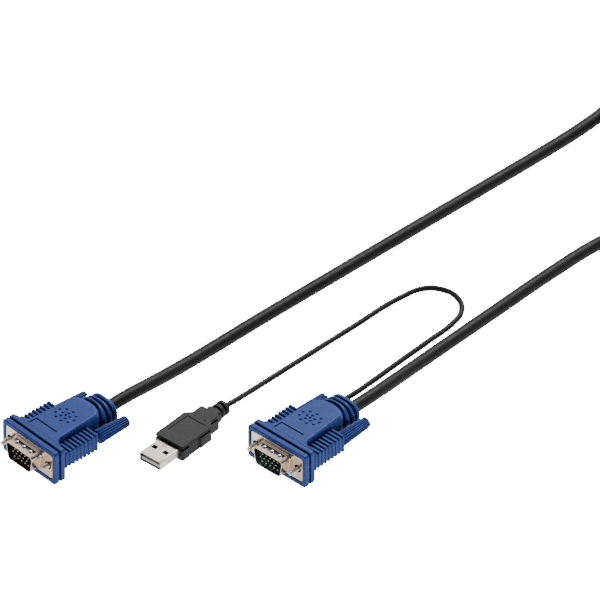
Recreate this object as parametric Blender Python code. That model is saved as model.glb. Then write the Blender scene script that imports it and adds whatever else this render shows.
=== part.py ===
"""A keyboard, video and mouse cable: two 15-pin video plugs, a USB plug, and the cords between them.

Metres, +Z up. The three plugs stand on Z = 0. Plug B's mating face looks along -Y. The origin lies on
the floor below the middle of the three plugs. Each plug is modelled in a frame of its own, with its
mating face towards -Y, and is then set down at its place.
"""

import math

import bmesh
import bpy
from mathutils import Matrix, Vector

mm = 0.001

# Clearances
TOUCH_GAP = 0.3 * mm  # between pieces that sit against or inside each other
PIECE_OVERSHOOT = 1.0 * mm  # how far a cutter runs past the face that it opens

# Places of the plugs on the floor: x, y, turn in degrees about Z
PLUG_A_PLACE = (-40.87 * mm, -55.75 * mm, -4.8)
PLUG_B_PLACE = (40.78 * mm, 16.2 * mm, 0.0)
USB_PLACE = (-1.62 * mm, -19.79 * mm, 2.5)

# Video plug: front shell, a 15-contact high density D shell
FLANGE_SIDE = 2.91 * mm  # from a thumbscrew's axis to the flange's end
FLANGE_HEIGHT = 12.55 * mm
FLANGE_THICKNESS = 0.8 * mm
FLANGE_CORNER = 1.0 * mm
FLANGE_RECESS = 0.3 * mm  # flange front behind the hood's front rim
FLANGE_HOLE = 3.9 * mm  # round a thumbscrew
SKIRT_INNER_WIDTH = 16.92 * mm
SKIRT_INNER_HEIGHT = 8.36 * mm
SKIRT_WALL = 0.4 * mm
SKIRT_LENGTH = 6.0 * mm
SKIRT_CORNER = 1.4 * mm  # inner corner radius
SKIRT_SIDE_ANGLE = math.radians(10.0)
DIMPLE_COUNT = 3
DIMPLE_PITCH = 4.5 * mm
DIMPLE_RADIUS = 0.9 * mm
DIMPLE_RISE = 0.35 * mm

# Video plug: contacts and their insulator
PIN_COLUMNS = 5
PIN_ROWS = 3
PIN_PITCH = 2.29 * mm
PIN_ROW_PITCH = 1.98 * mm
PIN_DIAMETER = 0.76 * mm
PIN_REACH = 5.2 * mm  # from the flange's front to the pin's tip
PIN_TAIL = 1.6 * mm  # behind the insulator
WIRE_ROOM = 1.0 * mm  # behind the contacts' tails
PIN_NOSE = 0.5 * mm
INSULATOR_FACE = 0.4 * mm  # insulator's face in front of the flange's front
INSULATOR_BACK_WIDTH = 17.6 * mm
INSULATOR_BACK_HEIGHT = 10.4 * mm
INSULATOR_BACK_LENGTH = 4.6 * mm

# Video plug: thumbscrews
SCREW_SPACING = 24.99 * mm
SCREW_DIAMETER = 2.8 * mm
SCREW_TIP_REACH = 5.0 * mm  # in front of the hood's front when pushed home
SCREW_NOSE_DIAMETER = 2.0 * mm  # plain point in front of the thread
SCREW_NOSE_LENGTH = 1.5 * mm
SCREW_THREAD_LENGTH = 2.3 * mm
SCREW_NECK_DIAMETER = 2.1 * mm  # relief behind the thread, through the flange
SCREW_NECK_END = 6.0 * mm  # behind the hood's front when pushed home
SCREW_CHAMFER = 0.4 * mm
SCREW_BORE = 3.5 * mm
SCREW_IN_KNOB = 13.0 * mm
GROOVE_DIAMETER = 1.8 * mm
GROOVE_PLACE = 12.0 * mm  # groove's front behind the hood's front when pushed home
CLIP_DIAMETER = 4.2 * mm
CLIP_THICKNESS = 0.6 * mm
CLIP_OPENING = math.radians(70.0)
FLOAT_TRAVEL = 3.0 * mm
KNOB_FRONT_DIAMETER = 6.8 * mm
KNOB_REAR_DIAMETER = 5.4 * mm
KNOB_LENGTH = 18.4 * mm
KNOB_FLUTES = 18
KNOB_FLUTE_DEPTH = 0.3 * mm
KNOB_COLLAR = 0.9 * mm
KNOB_ROUNDING = 1.1 * mm
KNOB_SLOT_WIDTH = 1.0 * mm  # for a screwdriver, across the knob's end
KNOB_SLOT_DEPTH = 1.6 * mm
KNOB_CHANNEL_GAP = 0.5 * mm  # between a knob and the hood's body beside it
# How far each thumbscrew is drawn back from home, and how its slot stands, as the photo shows them
DRAWN_BACK = {"a_left": 0.0, "a_right": 1.8 * mm, "b_left": 0.0, "b_right": 0.0}
SLOT_TURN = {"a_left": 35.0, "a_right": 115.0, "b_left": 80.0, "b_right": -25.0}

# Video plug: hood
HOOD_LENGTH = 45.9 * mm  # with the strain relief
RIM_SIDE = 1.995 * mm  # rim beside the flange
RIM_HEIGHT = 17.5 * mm
RIM_CORNER = 1.4 * mm
FRONT_RIM = 2.7 * mm
RIM_GROOVE = 1.0 * mm
RIM_GROOVE_DEPTH = 1.2 * mm
REAR_RIM = 2.6 * mm
EDGE_CHAMFER = 0.35 * mm
BODY_WIDTH = 18.9 * mm  # at the rims
BODY_REAR_WIDTH = 17.1 * mm
BODY_INSET = 0.25 * mm  # body's top and bottom inside the rims'
BODY_CORNER = 1.6 * mm
FLARE_LENGTH = 4.0 * mm
FLARE_STEPS = 4
BLOCK_SIDE = 3.3 * mm  # from a thumbscrew's axis to the ribbed block's outer face
BLOCK_HEIGHT = 7.6 * mm
BLOCK_LIFT = 0.9 * mm  # the block's middle above the thumbscrews' axes
BLOCK_END = 26.3 * mm
BLOCK_CORNER = 0.9 * mm
RIB_COUNT = 9
RIB_RISE = 0.75 * mm
RIB_SHARE = 0.5  # of the ribs' pitch
DOME_LENGTH = 2.0 * mm  # the body's rounding towards the strain relief
DOME_INSET = 0.6 * mm
DOME_CORNER = 3.0 * mm
# Strain relief rings behind the body: length along the middle, half width, half height, and the bow
# of the groove in front, which is how far its ends at the body's sides lie before its middle
RINGS = (
    (1.5 * mm, 8.8 * mm, 8.0 * mm, 3.2 * mm),
    (1.7 * mm, 8.5 * mm, 7.5 * mm, 1.3 * mm),
    (2.55 * mm, 8.2 * mm, 7.0 * mm, 0.4 * mm),
)
BOW_POINTS = 5  # across the top, so that the grooves can bow
RING_GROOVE = 1.1 * mm
RING_GROOVE_DEPTH = 1.4 * mm
RING_ROUNDNESS = 0.8  # corner radius as a share of the half height
CAP_ROUNDING = 1.2 * mm

# USB plug
USB_SHELL_WIDTH = 12.0 * mm
USB_SHELL_HEIGHT = 4.5 * mm
USB_SHELL_WALL = 0.3 * mm
USB_SHELL_CORNER = 0.45 * mm
USB_SHELL_SHOWN = 12.5 * mm
USB_SHELL_HIDDEN = 6.0 * mm
USB_WINDOW_WIDTH = 2.0 * mm
USB_WINDOW_LENGTH = 2.3 * mm
USB_WINDOW_SPACING = 6.3 * mm
USB_WINDOW_PLACE = 5.8 * mm  # window's front edge behind the shell's mouth
TONGUE_SET_BACK = 0.5 * mm
TONGUE_THICKNESS = 1.9 * mm
CONTACT_PLACES = (-3.5 * mm, -1.0 * mm, 1.0 * mm, 3.5 * mm)
CONTACT_WIDTH = 1.0 * mm
CONTACT_THICKNESS = 0.3 * mm
CONTACT_LENGTHS = (8.4 * mm, 7.4 * mm, 7.4 * mm, 8.4 * mm)
CONTACT_SET_BACK = 1.6 * mm
USB_GRIP_WIDTH = 16.2 * mm
USB_GRIP_HEIGHT = 8.0 * mm
USB_GRIP_LENGTH = 19.6 * mm
USB_SHOULDER_LENGTH = 2.6 * mm
USB_TAIL_WIDTH = 10.8 * mm
USB_TAIL_LENGTH = 6.2 * mm
USB_NECK_WIDTH = 7.8 * mm
USB_NECK_HEIGHT = 6.6 * mm
USB_NECK_LENGTH = 3.2 * mm
USB_TOP_PLATE = 1.0 * mm
USB_SEAM_HEIGHT = 1.2 * mm
USB_SEAM_DEPTH = 0.8 * mm
USB_CORNER = 1.0 * mm
USB_GRIP_RECESS = 0.7 * mm
USB_GRIP_RECESS_FROM = 5.0 * mm
USB_GRIP_RECESS_TO = 12.6 * mm
USB_RING_COUNT = 2
USB_RING_LENGTH = 2.1 * mm
USB_RING_GROOVE = 0.9 * mm
USB_RING_RADIUS = 3.6 * mm
USB_RING_GROOVE_DEPTH = 0.8 * mm

# Cords
CABLE_DIAMETER = 6.0 * mm
CORD_DIAMETER = 2.6 * mm
CABLE_OFFSET_B = 1.2 * mm  # main cable beside plug B's middle
CORD_OFFSET_B = -5.7 * mm  # thin cord beside plug B's middle
CABLE_POINT_SPACING = 16.0 * mm
CORD_POINT_SPACING = 7.0 * mm
COIL_CENTRE = (15.1 * mm, 332.5 * mm)
COIL_OUTER_PATH = 44.2 * mm  # radius of the outermost turn's middle line
COIL_TURN_PITCH = 6.1 * mm
COIL_TURNS_ACROSS = 3
COIL_LAYERS = 2
COIL_CHAMFER = 1.5 * mm
TIE_THICKNESS = 0.8 * mm
TIE_WIDTH = 6.0 * mm
TIE_ANGLE = math.radians(60.0)

# What follows from the sizes above
FLANGE_WIDTH = SCREW_SPACING + 2 * FLANGE_SIDE
RIM_WIDTH = FLANGE_WIDTH + 2 * RIM_SIDE
BLOCK_OUTER_HALF = SCREW_SPACING / 2 + BLOCK_SIDE
SKIRT_OUTER_WIDTH = SKIRT_INNER_WIDTH + 2 * SKIRT_WALL
SKIRT_OUTER_HEIGHT = SKIRT_INNER_HEIGHT + 2 * SKIRT_WALL
AXIS_HEIGHT = RIM_HEIGHT / 2
FLANGE_BACK = FLANGE_RECESS + FLANGE_THICKNESS
SEAT_DEPTH = FLANGE_BACK + TOUCH_GAP
POCKET_WIDTH = INSULATOR_BACK_WIDTH + 2 * TOUCH_GAP
POCKET_HEIGHT = INSULATOR_BACK_HEIGHT + 2 * TOUCH_GAP
POCKET_DEPTH = SEAT_DEPTH + INSULATOR_BACK_LENGTH + PIN_TAIL + WIRE_ROOM
RIMS_END = FRONT_RIM + RIM_GROOVE + REAR_RIM
BODY_END = HOOD_LENGTH - sum(ring[0] + RING_GROOVE for ring in RINGS)
SCREW_X = SCREW_SPACING / 2
CLIP_POCKET_DIAMETER = CLIP_DIAMETER + 2 * TOUCH_GAP
GROOVE_WIDTH = CLIP_THICKNESS + 2 * TOUCH_GAP
USB_AXIS_HEIGHT = USB_GRIP_HEIGHT / 2
USB_GRIP_START = USB_SHELL_SHOWN
USB_TAIL_START = USB_GRIP_START + USB_GRIP_LENGTH + USB_SHOULDER_LENGTH
USB_NECK_START = USB_TAIL_START + USB_TAIL_LENGTH
USB_RINGS_START = USB_NECK_START + USB_NECK_LENGTH
USB_END = USB_RINGS_START + USB_RING_COUNT * (USB_RING_LENGTH + USB_RING_GROOVE)
COIL_BASE = TIE_THICKNESS + TOUCH_GAP
COIL_HEIGHT = CABLE_DIAMETER + (COIL_LAYERS - 1) * COIL_TURN_PITCH
COIL_OUTER_RADIUS = COIL_OUTER_PATH + CABLE_DIAMETER / 2
COIL_INNER_RADIUS = COIL_OUTER_PATH - COIL_TURNS_ACROSS * COIL_TURN_PITCH - CABLE_DIAMETER / 2

COLOURS = {
    "hood_blue": ((0.062, 0.127, 0.376, 1.0), 0.0, 0.45),
    "nickel": ((0.76, 0.70, 0.62, 1.0), 1.0, 0.28),
    "insulator_black": ((0.012, 0.02, 0.022, 1.0), 0.0, 0.5),
    "insulator_teal": ((0.006, 0.045, 0.06, 1.0), 0.0, 0.4),
    "gold": ((0.85, 0.68, 0.36, 1.0), 1.0, 0.25),
    "usb_black": ((0.03, 0.03, 0.032, 1.0), 0.0, 0.5),
    "tongue_white": ((0.72, 0.72, 0.7, 1.0), 0.0, 0.5),
    "cable_black": ((0.014, 0.014, 0.015, 1.0), 0.0, 0.42),
    "tie_black": ((0.02, 0.02, 0.02, 1.0), 0.0, 0.8),
}


# Scene and materials


def clear_scene():
    for thing in list(bpy.data.objects):
        bpy.data.objects.remove(thing, do_unlink=True)


def make_material(name):
    colour, metallic, roughness = COLOURS[name]
    material = bpy.data.materials.new(name)
    material.use_nodes = True
    shader = material.node_tree.nodes["Principled BSDF"]
    shader.inputs["Base Color"].default_value = colour
    shader.inputs["Metallic"].default_value = metallic
    shader.inputs["Roughness"].default_value = roughness
    return material


# Outlines: lists of 2-D points, counter-clockwise


def rounded_outline(corners, radius, steps):
    """A polygon with each corner turned into an arc of the same radius."""
    points = []
    count = len(corners)
    for index, corner in enumerate(corners):
        here = Vector(corner)
        before = (Vector(corners[index - 1]) - here).normalized()
        after = (Vector(corners[(index + 1) % count]) - here).normalized()
        half_angle = before.angle(after) / 2
        centre = here + (before + after).normalized() * (radius / math.sin(half_angle))
        start = here + before * (radius / math.tan(half_angle)) - centre
        end = here + after * (radius / math.tan(half_angle)) - centre
        sweep = math.atan2(start.x * end.y - start.y * end.x, start.dot(end))
        for step in range(steps + 1):
            turn = sweep * step / steps
            x = start.x * math.cos(turn) - start.y * math.sin(turn)
            y = start.x * math.sin(turn) + start.y * math.cos(turn)
            points.append((centre.x + x, centre.y + y))
    return points


def box_outline(width, height, radius, steps=3, centre=(0.0, 0.0)):
    half_x = width / 2
    half_y = height / 2
    corners = [
        (centre[0] - half_x, centre[1] - half_y),
        (centre[0] + half_x, centre[1] - half_y),
        (centre[0] + half_x, centre[1] + half_y),
        (centre[0] - half_x, centre[1] + half_y),
    ]
    return rounded_outline(corners, radius, steps)


def d_outline(width, height, radius, centre_height, steps=3):
    """The D shape of the skirt, wide side up. The width is that of the wide side."""
    half_top = width / 2
    half_bottom = half_top - height * math.tan(SKIRT_SIDE_ANGLE)
    low = centre_height - height / 2
    high = centre_height + height / 2
    corners = [(-half_bottom, low), (half_bottom, low), (half_top, high), (-half_top, high)]
    return rounded_outline(corners, radius, steps)


def circle_outline(radius, sides, centre=(0.0, 0.0)):
    points = []
    for index in range(sides):
        turn = 2 * math.pi * (index + 0.5) / sides
        points.append((centre[0] + radius * math.cos(turn), centre[1] + radius * math.sin(turn)))
    return points


# Solids


def mesh_from_bmesh(name, shape):
    bmesh.ops.recalc_face_normals(shape, faces=shape.faces)
    mesh = bpy.data.meshes.new(name)
    shape.to_mesh(mesh)
    shape.free()
    return mesh


def loft_through(name, point_rings):
    """A solid through rings of 3-D points, as many in each."""
    shape = bmesh.new()
    rings = []
    for points in point_rings:
        rings.append([shape.verts.new(point) for point in points])
    count = len(rings[0])
    for ring, following in zip(rings, rings[1:]):
        for index in range(count):
            after = (index + 1) % count
            shape.faces.new((ring[index], ring[after], following[after], following[index]))
    shape.faces.new(rings[0])
    shape.faces.new(rings[-1])
    return mesh_from_bmesh(name, shape)


def loft(name, sections):
    """A solid through sections of (y, outline in x and z) with the same number of points."""
    return loft_through(name, [[(x, y, z) for x, z in outline] for y, outline in sections])


def prism_y(name, outline, start, end):
    return loft(name, [(start, outline), (end, outline)])


def prism_z(name, outline, low, high):
    """A solid of an outline in x and y, from one height to another."""
    shape = bmesh.new()
    bottom = [shape.verts.new((x, y, low)) for x, y in outline]
    top = [shape.verts.new((x, y, high)) for x, y in outline]
    count = len(outline)
    for index in range(count):
        after = (index + 1) % count
        shape.faces.new((bottom[index], bottom[after], top[after], top[index]))
    shape.faces.new(bottom)
    shape.faces.new(top)
    return mesh_from_bmesh(name, shape)


def rod(name, radius, sides, start, end, x=0.0, z=0.0):
    return prism_y(name, circle_outline(radius, sides, (x, z)), start, end)


def turned(name, profile, sides):
    """A solid turned about the Y axis from (y, radius) stations."""
    return loft(name, [(y, circle_outline(radius, sides)) for y, radius in profile])


def turned_ring(name, inner, outer, low, high, chamfer, sides):
    """A closed ring turned about Z, with chamfered edges."""
    profile = [
        (inner + chamfer, low),
        (outer - chamfer, low),
        (outer, low + chamfer),
        (outer, high - chamfer),
        (outer - chamfer, high),
        (inner + chamfer, high),
        (inner, high - chamfer),
        (inner, low + chamfer),
    ]
    shape = bmesh.new()
    rings = []
    for index in range(sides):
        turn = 2 * math.pi * index / sides
        rings.append(
            [shape.verts.new((r * math.cos(turn), r * math.sin(turn), z)) for r, z in profile]
        )
    for index, ring in enumerate(rings):
        following = rings[(index + 1) % sides]
        for corner in range(len(profile)):
            after = (corner + 1) % len(profile)
            shape.faces.new((ring[corner], ring[after], following[after], following[corner]))
    return mesh_from_bmesh(name, shape)


def merged(name, meshes):
    """Several separate bodies in one mesh, for use as one cutter."""
    shape = bmesh.new()
    for mesh in meshes:
        shape.from_mesh(mesh)
    result = bpy.data.meshes.new(name)
    shape.to_mesh(result)
    shape.free()
    return result


def boolean(mesh, other, operation):
    """The mesh with another added (UNION) or taken away (DIFFERENCE)."""
    body = bpy.data.objects.new("boolean_body", mesh)
    tool = bpy.data.objects.new("boolean_tool", other)
    for thing in (body, tool):
        bpy.context.scene.collection.objects.link(thing)
    modifier = body.modifiers.new("boolean", "BOOLEAN")
    modifier.operation = operation
    modifier.solver = "EXACT"
    modifier.object = tool
    graph = bpy.context.evaluated_depsgraph_get()
    result = bpy.data.meshes.new_from_object(body.evaluated_get(graph))
    result.name = mesh.name
    for thing in (body, tool):
        bpy.data.objects.remove(thing, do_unlink=True)
    return result


def joined(mesh, others):
    for other in others:
        mesh = boolean(mesh, other, "UNION")
    return mesh


def cut(mesh, others):
    for other in others:
        mesh = boolean(mesh, other, "DIFFERENCE")
    return mesh


def add_piece(name, mesh, material, parent=None, location=(0.0, 0.0, 0.0), smooth=None):
    mesh.materials.clear()
    mesh.materials.append(material)
    if smooth is not None:
        mesh.shade_smooth()
        mesh.set_sharp_from_angle(angle=math.radians(smooth))
    piece = bpy.data.objects.new(name, mesh)
    bpy.context.scene.collection.objects.link(piece)
    piece.parent = parent
    piece.location = location
    return piece


def add_place(name, place):
    x, y, turn = place
    empty = bpy.data.objects.new(name, None)
    bpy.context.scene.collection.objects.link(empty)
    empty.location = (x, y, 0.0)
    empty.rotation_euler = (0.0, 0.0, math.radians(turn))
    return empty


# Video plug: hood


def block_section(y, grown):
    """The ribbed blocks and the body between them, at one place along the plug."""
    width = 2 * (BLOCK_OUTER_HALF + grown)
    height = BLOCK_HEIGHT + 2 * grown
    return (y, box_outline(width, height, BLOCK_CORNER, 1, (0.0, AXIS_HEIGHT + BLOCK_LIFT)))


def blocks_mesh():
    pitch = (BLOCK_END - RIMS_END) / RIB_COUNT
    sections = [block_section(RIMS_END - REAR_RIM / 2, 0.0)]
    for index in range(RIB_COUNT):
        start = RIMS_END + pitch * (index + 1 - RIB_SHARE)
        end = RIMS_END + pitch * (index + 1)
        sections.append(block_section(start, 0.0))
        sections.append(block_section(start, RIB_RISE))
        sections.append(block_section(end, RIB_RISE))
        if index < RIB_COUNT - 1:
            sections.append(block_section(end, 0.0))
    return loft("blocks", sections)


def body_section(y, half_width, half_height, corner, bow=0.0):
    """The hood's outline at one place; a bow sets its sides further forward than its middle."""
    outline = box_outline(2 * half_width, 2 * half_height, corner, 3, (0.0, AXIS_HEIGHT))
    quarter = len(outline) // 4
    points = []
    for index, (x, z) in enumerate(outline):
        points.append((x, z))
        if index in (quarter - 1, 3 * quarter - 1):
            next_x = outline[index + 1][0]
            for step in range(1, BOW_POINTS + 1):
                points.append((x + (next_x - x) * step / (BOW_POINTS + 1), z))
    return [(x, y - bow * (2 * x / BODY_WIDTH) ** 2, z) for x, z in points]


def rim_sections(start, end):
    half_width = RIM_WIDTH / 2
    half_height = RIM_HEIGHT / 2
    slim = EDGE_CHAMFER
    return [
        body_section(start, half_width - slim, half_height - slim, RIM_CORNER),
        body_section(start + slim, half_width, half_height, RIM_CORNER),
        body_section(end - slim, half_width, half_height, RIM_CORNER),
        body_section(end, half_width - slim, half_height - slim, RIM_CORNER),
    ]


def flare_sections():
    """The body's top plate widens in a quarter arc to meet the rear rim."""
    wide = RIM_WIDTH / 2 - EDGE_CHAMFER
    narrow = BODY_WIDTH / 2
    half_height = RIM_HEIGHT / 2 - BODY_INSET
    sections = []
    for step in range(FLARE_STEPS + 1):
        turn = 0.5 * math.pi * step / FLARE_STEPS
        y = RIMS_END + FLARE_LENGTH * (1 - math.cos(turn))
        half_width = wide - (wide - narrow) * math.sin(turn)
        sections.append(body_section(y + TOUCH_GAP, half_width, half_height, BODY_CORNER))
    return sections


def ring_sections():
    sections = []
    y = BODY_END
    last = len(RINGS) - 1
    for index, (length, half_width, half_height, bow) in enumerate(RINGS):
        groove_width = half_width - RING_GROOVE_DEPTH
        groove_height = half_height - RING_GROOVE_DEPTH
        groove_corner = groove_height * RING_ROUNDNESS
        sections.append(body_section(y, groove_width, groove_height, groove_corner, bow))
        y += RING_GROOVE
        corner = half_height * RING_ROUNDNESS
        sections.append(body_section(y, groove_width, groove_height, groove_corner, bow))
        sections.append(body_section(y, half_width, half_height, corner, bow))
        end = y + length
        if index == last:
            sections.append(body_section(end - CAP_ROUNDING, half_width, half_height, corner))
            slim = CAP_ROUNDING
            capped = half_height - slim
            sections.append(body_section(end, half_width - slim, capped, capped * RING_ROUNDNESS))
        else:
            next_bow = RINGS[index + 1][3]
            sections.append(body_section(end, half_width, half_height, corner, next_bow))
        y = end
    return sections


def hood_core():
    groove_end = FRONT_RIM + RIM_GROOVE
    groove_width = RIM_WIDTH / 2 - RIM_GROOVE_DEPTH
    groove_height = RIM_HEIGHT / 2 - RIM_GROOVE_DEPTH
    body_height = RIM_HEIGHT / 2 - BODY_INSET
    sections = rim_sections(0.0, FRONT_RIM)
    sections.append(body_section(FRONT_RIM, groove_width, groove_height, RIM_CORNER))
    sections.append(body_section(groove_end, groove_width, groove_height, RIM_CORNER))
    sections += rim_sections(groove_end, RIMS_END)
    sections += flare_sections()
    dome_start = BODY_END - DOME_LENGTH
    bow = RINGS[0][3]
    rear_width = BODY_REAR_WIDTH / 2
    sections.append(body_section(dome_start, rear_width, body_height, BODY_CORNER, bow))
    dome_width = rear_width - DOME_INSET
    dome_height = body_height - DOME_INSET
    sections.append(body_section(BODY_END, dome_width, dome_height, DOME_CORNER, bow))
    sections += ring_sections()
    return loft_through("hood", sections)


def hood_cutters():
    seat = box_outline(
        FLANGE_WIDTH + 2 * TOUCH_GAP,
        FLANGE_HEIGHT + 2 * TOUCH_GAP,
        FLANGE_CORNER + TOUCH_GAP,
        3,
        (0.0, AXIS_HEIGHT),
    )
    pocket = box_outline(POCKET_WIDTH, POCKET_HEIGHT, FLANGE_CORNER, 1, (0.0, AXIS_HEIGHT))
    cutters = [
        prism_y("seat", seat, -PIECE_OVERSHOOT, SEAT_DEPTH),
        prism_y("pocket", pocket, SEAT_DEPTH - TOUCH_GAP, POCKET_DEPTH),
    ]
    channel_radius = KNOB_FRONT_DIAMETER / 2 + KNOB_CHANNEL_GAP
    pocket_start = GROOVE_PLACE
    pocket_end = GROOVE_PLACE + GROOVE_WIDTH + FLOAT_TRAVEL
    pocket_radius = CLIP_POCKET_DIAMETER / 2
    for x in (-SCREW_X, SCREW_X):
        bore_end = BLOCK_END + PIECE_OVERSHOOT
        channel_end = HOOD_LENGTH + PIECE_OVERSHOOT
        cutters += [
            rod("bore", SCREW_BORE / 2, 12, 0.0, bore_end, x, AXIS_HEIGHT),
            rod("clip_pocket", pocket_radius, 16, pocket_start, pocket_end, x, AXIS_HEIGHT),
            rod("knob_channel", channel_radius, 20, BLOCK_END, channel_end, x, AXIS_HEIGHT),
        ]
    return cutters


def hood_mesh():
    return cut(joined(hood_core(), [blocks_mesh()]), hood_cutters())


# Video plug: front shell, insulator and pins


def dimple_mesh(x):
    """One grounding dimple, a low dome on the skirt's wide side."""
    shape = bmesh.new()
    bmesh.ops.create_uvsphere(shape, u_segments=8, v_segments=6, radius=DIMPLE_RADIUS)
    flatten = Matrix.Diagonal((1.0, 1.0, DIMPLE_RISE / DIMPLE_RADIUS, 1.0))
    bmesh.ops.transform(shape, matrix=flatten, verts=shape.verts)
    top = AXIS_HEIGHT + SKIRT_OUTER_HEIGHT / 2
    place = Matrix.Translation((x, FLANGE_RECESS - SKIRT_LENGTH / 2, top))
    bmesh.ops.transform(shape, matrix=place, verts=shape.verts)
    return mesh_from_bmesh("dimple", shape)


def front_shell_mesh():
    flange = box_outline(FLANGE_WIDTH, FLANGE_HEIGHT, FLANGE_CORNER, 3, (0.0, AXIS_HEIGHT))
    outer_corner = SKIRT_CORNER + SKIRT_WALL
    skirt = d_outline(SKIRT_OUTER_WIDTH, SKIRT_OUTER_HEIGHT, outer_corner, AXIS_HEIGHT)
    inside = d_outline(SKIRT_INNER_WIDTH, SKIRT_INNER_HEIGHT, SKIRT_CORNER, AXIS_HEIGHT)
    mouth = FLANGE_RECESS - SKIRT_LENGTH
    middle = FLANGE_RECESS + FLANGE_THICKNESS / 2
    shell = prism_y("front_shell", flange, FLANGE_RECESS, FLANGE_BACK)
    parts = [prism_y("skirt", skirt, mouth, middle)]
    for index in range(DIMPLE_COUNT):
        parts.append(dimple_mesh((index - (DIMPLE_COUNT - 1) / 2) * DIMPLE_PITCH))
    shell = joined(shell, parts)
    through = [
        prism_y("inside", inside, mouth - PIECE_OVERSHOOT, FLANGE_BACK + PIECE_OVERSHOOT),
    ]
    for x in (-SCREW_X, SCREW_X):
        end = FLANGE_BACK + PIECE_OVERSHOOT
        through.append(rod("hole", FLANGE_HOLE / 2, 16, -PIECE_OVERSHOOT, end, x, AXIS_HEIGHT))
    return cut(shell, through)


def pin_places():
    """Row by row from the top; the middle row is shifted by half a pitch."""
    places = []
    for row in range(PIN_ROWS):
        shift = -PIN_PITCH / 4 if row % 2 else PIN_PITCH / 4
        z = AXIS_HEIGHT + ((PIN_ROWS - 1) / 2 - row) * PIN_ROW_PITCH
        for column in range(PIN_COLUMNS):
            places.append(((column - (PIN_COLUMNS - 1) / 2) * PIN_PITCH + shift, z))
    return places


def insulator_mesh():
    slack = 2 * TOUCH_GAP
    nose = d_outline(
        SKIRT_INNER_WIDTH - slack,
        SKIRT_INNER_HEIGHT - slack,
        SKIRT_CORNER - TOUCH_GAP,
        AXIS_HEIGHT,
    )
    back = box_outline(
        INSULATOR_BACK_WIDTH, INSULATOR_BACK_HEIGHT, FLANGE_CORNER, 1, (0.0, AXIS_HEIGHT)
    )
    back_start = FLANGE_BACK + TOUCH_GAP
    back_end = back_start + INSULATOR_BACK_LENGTH
    face = FLANGE_RECESS - INSULATOR_FACE
    block = prism_y("insulator", nose, face, back_start + INSULATOR_BACK_LENGTH / 2)
    block = joined(block, [prism_y("back", back, back_start, back_end)])
    hole_radius = PIN_DIAMETER / 2 + TOUCH_GAP
    start = face - PIECE_OVERSHOOT
    end = back_end + PIECE_OVERSHOOT
    holes = [rod("hole", hole_radius, 6, start, end, x, z) for x, z in pin_places()]
    return cut(block, [merged("holes", holes)])


def pin_mesh():
    radius = PIN_DIAMETER / 2
    tip = FLANGE_RECESS - PIN_REACH
    tail = FLANGE_BACK + TOUCH_GAP + INSULATOR_BACK_LENGTH + PIN_TAIL
    profile = [(tip, radius * 0.45), (tip + PIN_NOSE, radius), (tail, radius)]
    return turned("pin", profile, 8)


# Video plug: thumbscrews, in a frame whose Y axis is the screw's axis


def screw_mesh():
    radius = SCREW_DIAMETER / 2
    nose = SCREW_NOSE_DIAMETER / 2
    neck = SCREW_NECK_DIAMETER / 2
    waist = GROOVE_DIAMETER / 2
    tip = -SCREW_TIP_REACH
    thread = tip + SCREW_NOSE_LENGTH
    thread_end = thread + SCREW_THREAD_LENGTH
    end = BLOCK_END + TOUCH_GAP + SCREW_IN_KNOB
    profile = [
        (tip, nose - SCREW_CHAMFER),
        (tip + SCREW_CHAMFER, nose),
        (thread, nose),
        (thread + SCREW_CHAMFER, radius),
        (thread_end - SCREW_CHAMFER, radius),
        (thread_end, neck),
        (SCREW_NECK_END, neck),
        (SCREW_NECK_END, radius),
        (GROOVE_PLACE, radius),
        (GROOVE_PLACE, waist),
        (GROOVE_PLACE + GROOVE_WIDTH, waist),
        (GROOVE_PLACE + GROOVE_WIDTH, radius),
        (end, radius),
    ]
    return turned("screw", profile, 12)


def clip_mesh():
    """An open ring that snaps into the screw's groove."""
    outer = CLIP_DIAMETER / 2
    inner = GROOVE_DIAMETER / 2 + TOUCH_GAP
    steps = 14
    outline = []
    for radius, order in ((outer, range(steps + 1)), (inner, range(steps, -1, -1))):
        for step in order:
            sweep = 2 * math.pi - CLIP_OPENING
            turn = CLIP_OPENING / 2 + sweep * step / steps - math.pi / 2
            outline.append((radius * math.cos(turn), radius * math.sin(turn)))
    start = GROOVE_PLACE + TOUCH_GAP
    return prism_y("clip", outline, start, start + CLIP_THICKNESS)


def fluted_outline(radius, depth):
    points = []
    for index in range(2 * KNOB_FLUTES):
        turn = math.pi * index / KNOB_FLUTES
        reach = radius - (depth if index % 2 else 0.0)
        points.append((reach * math.cos(turn), reach * math.sin(turn)))
    return points


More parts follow.
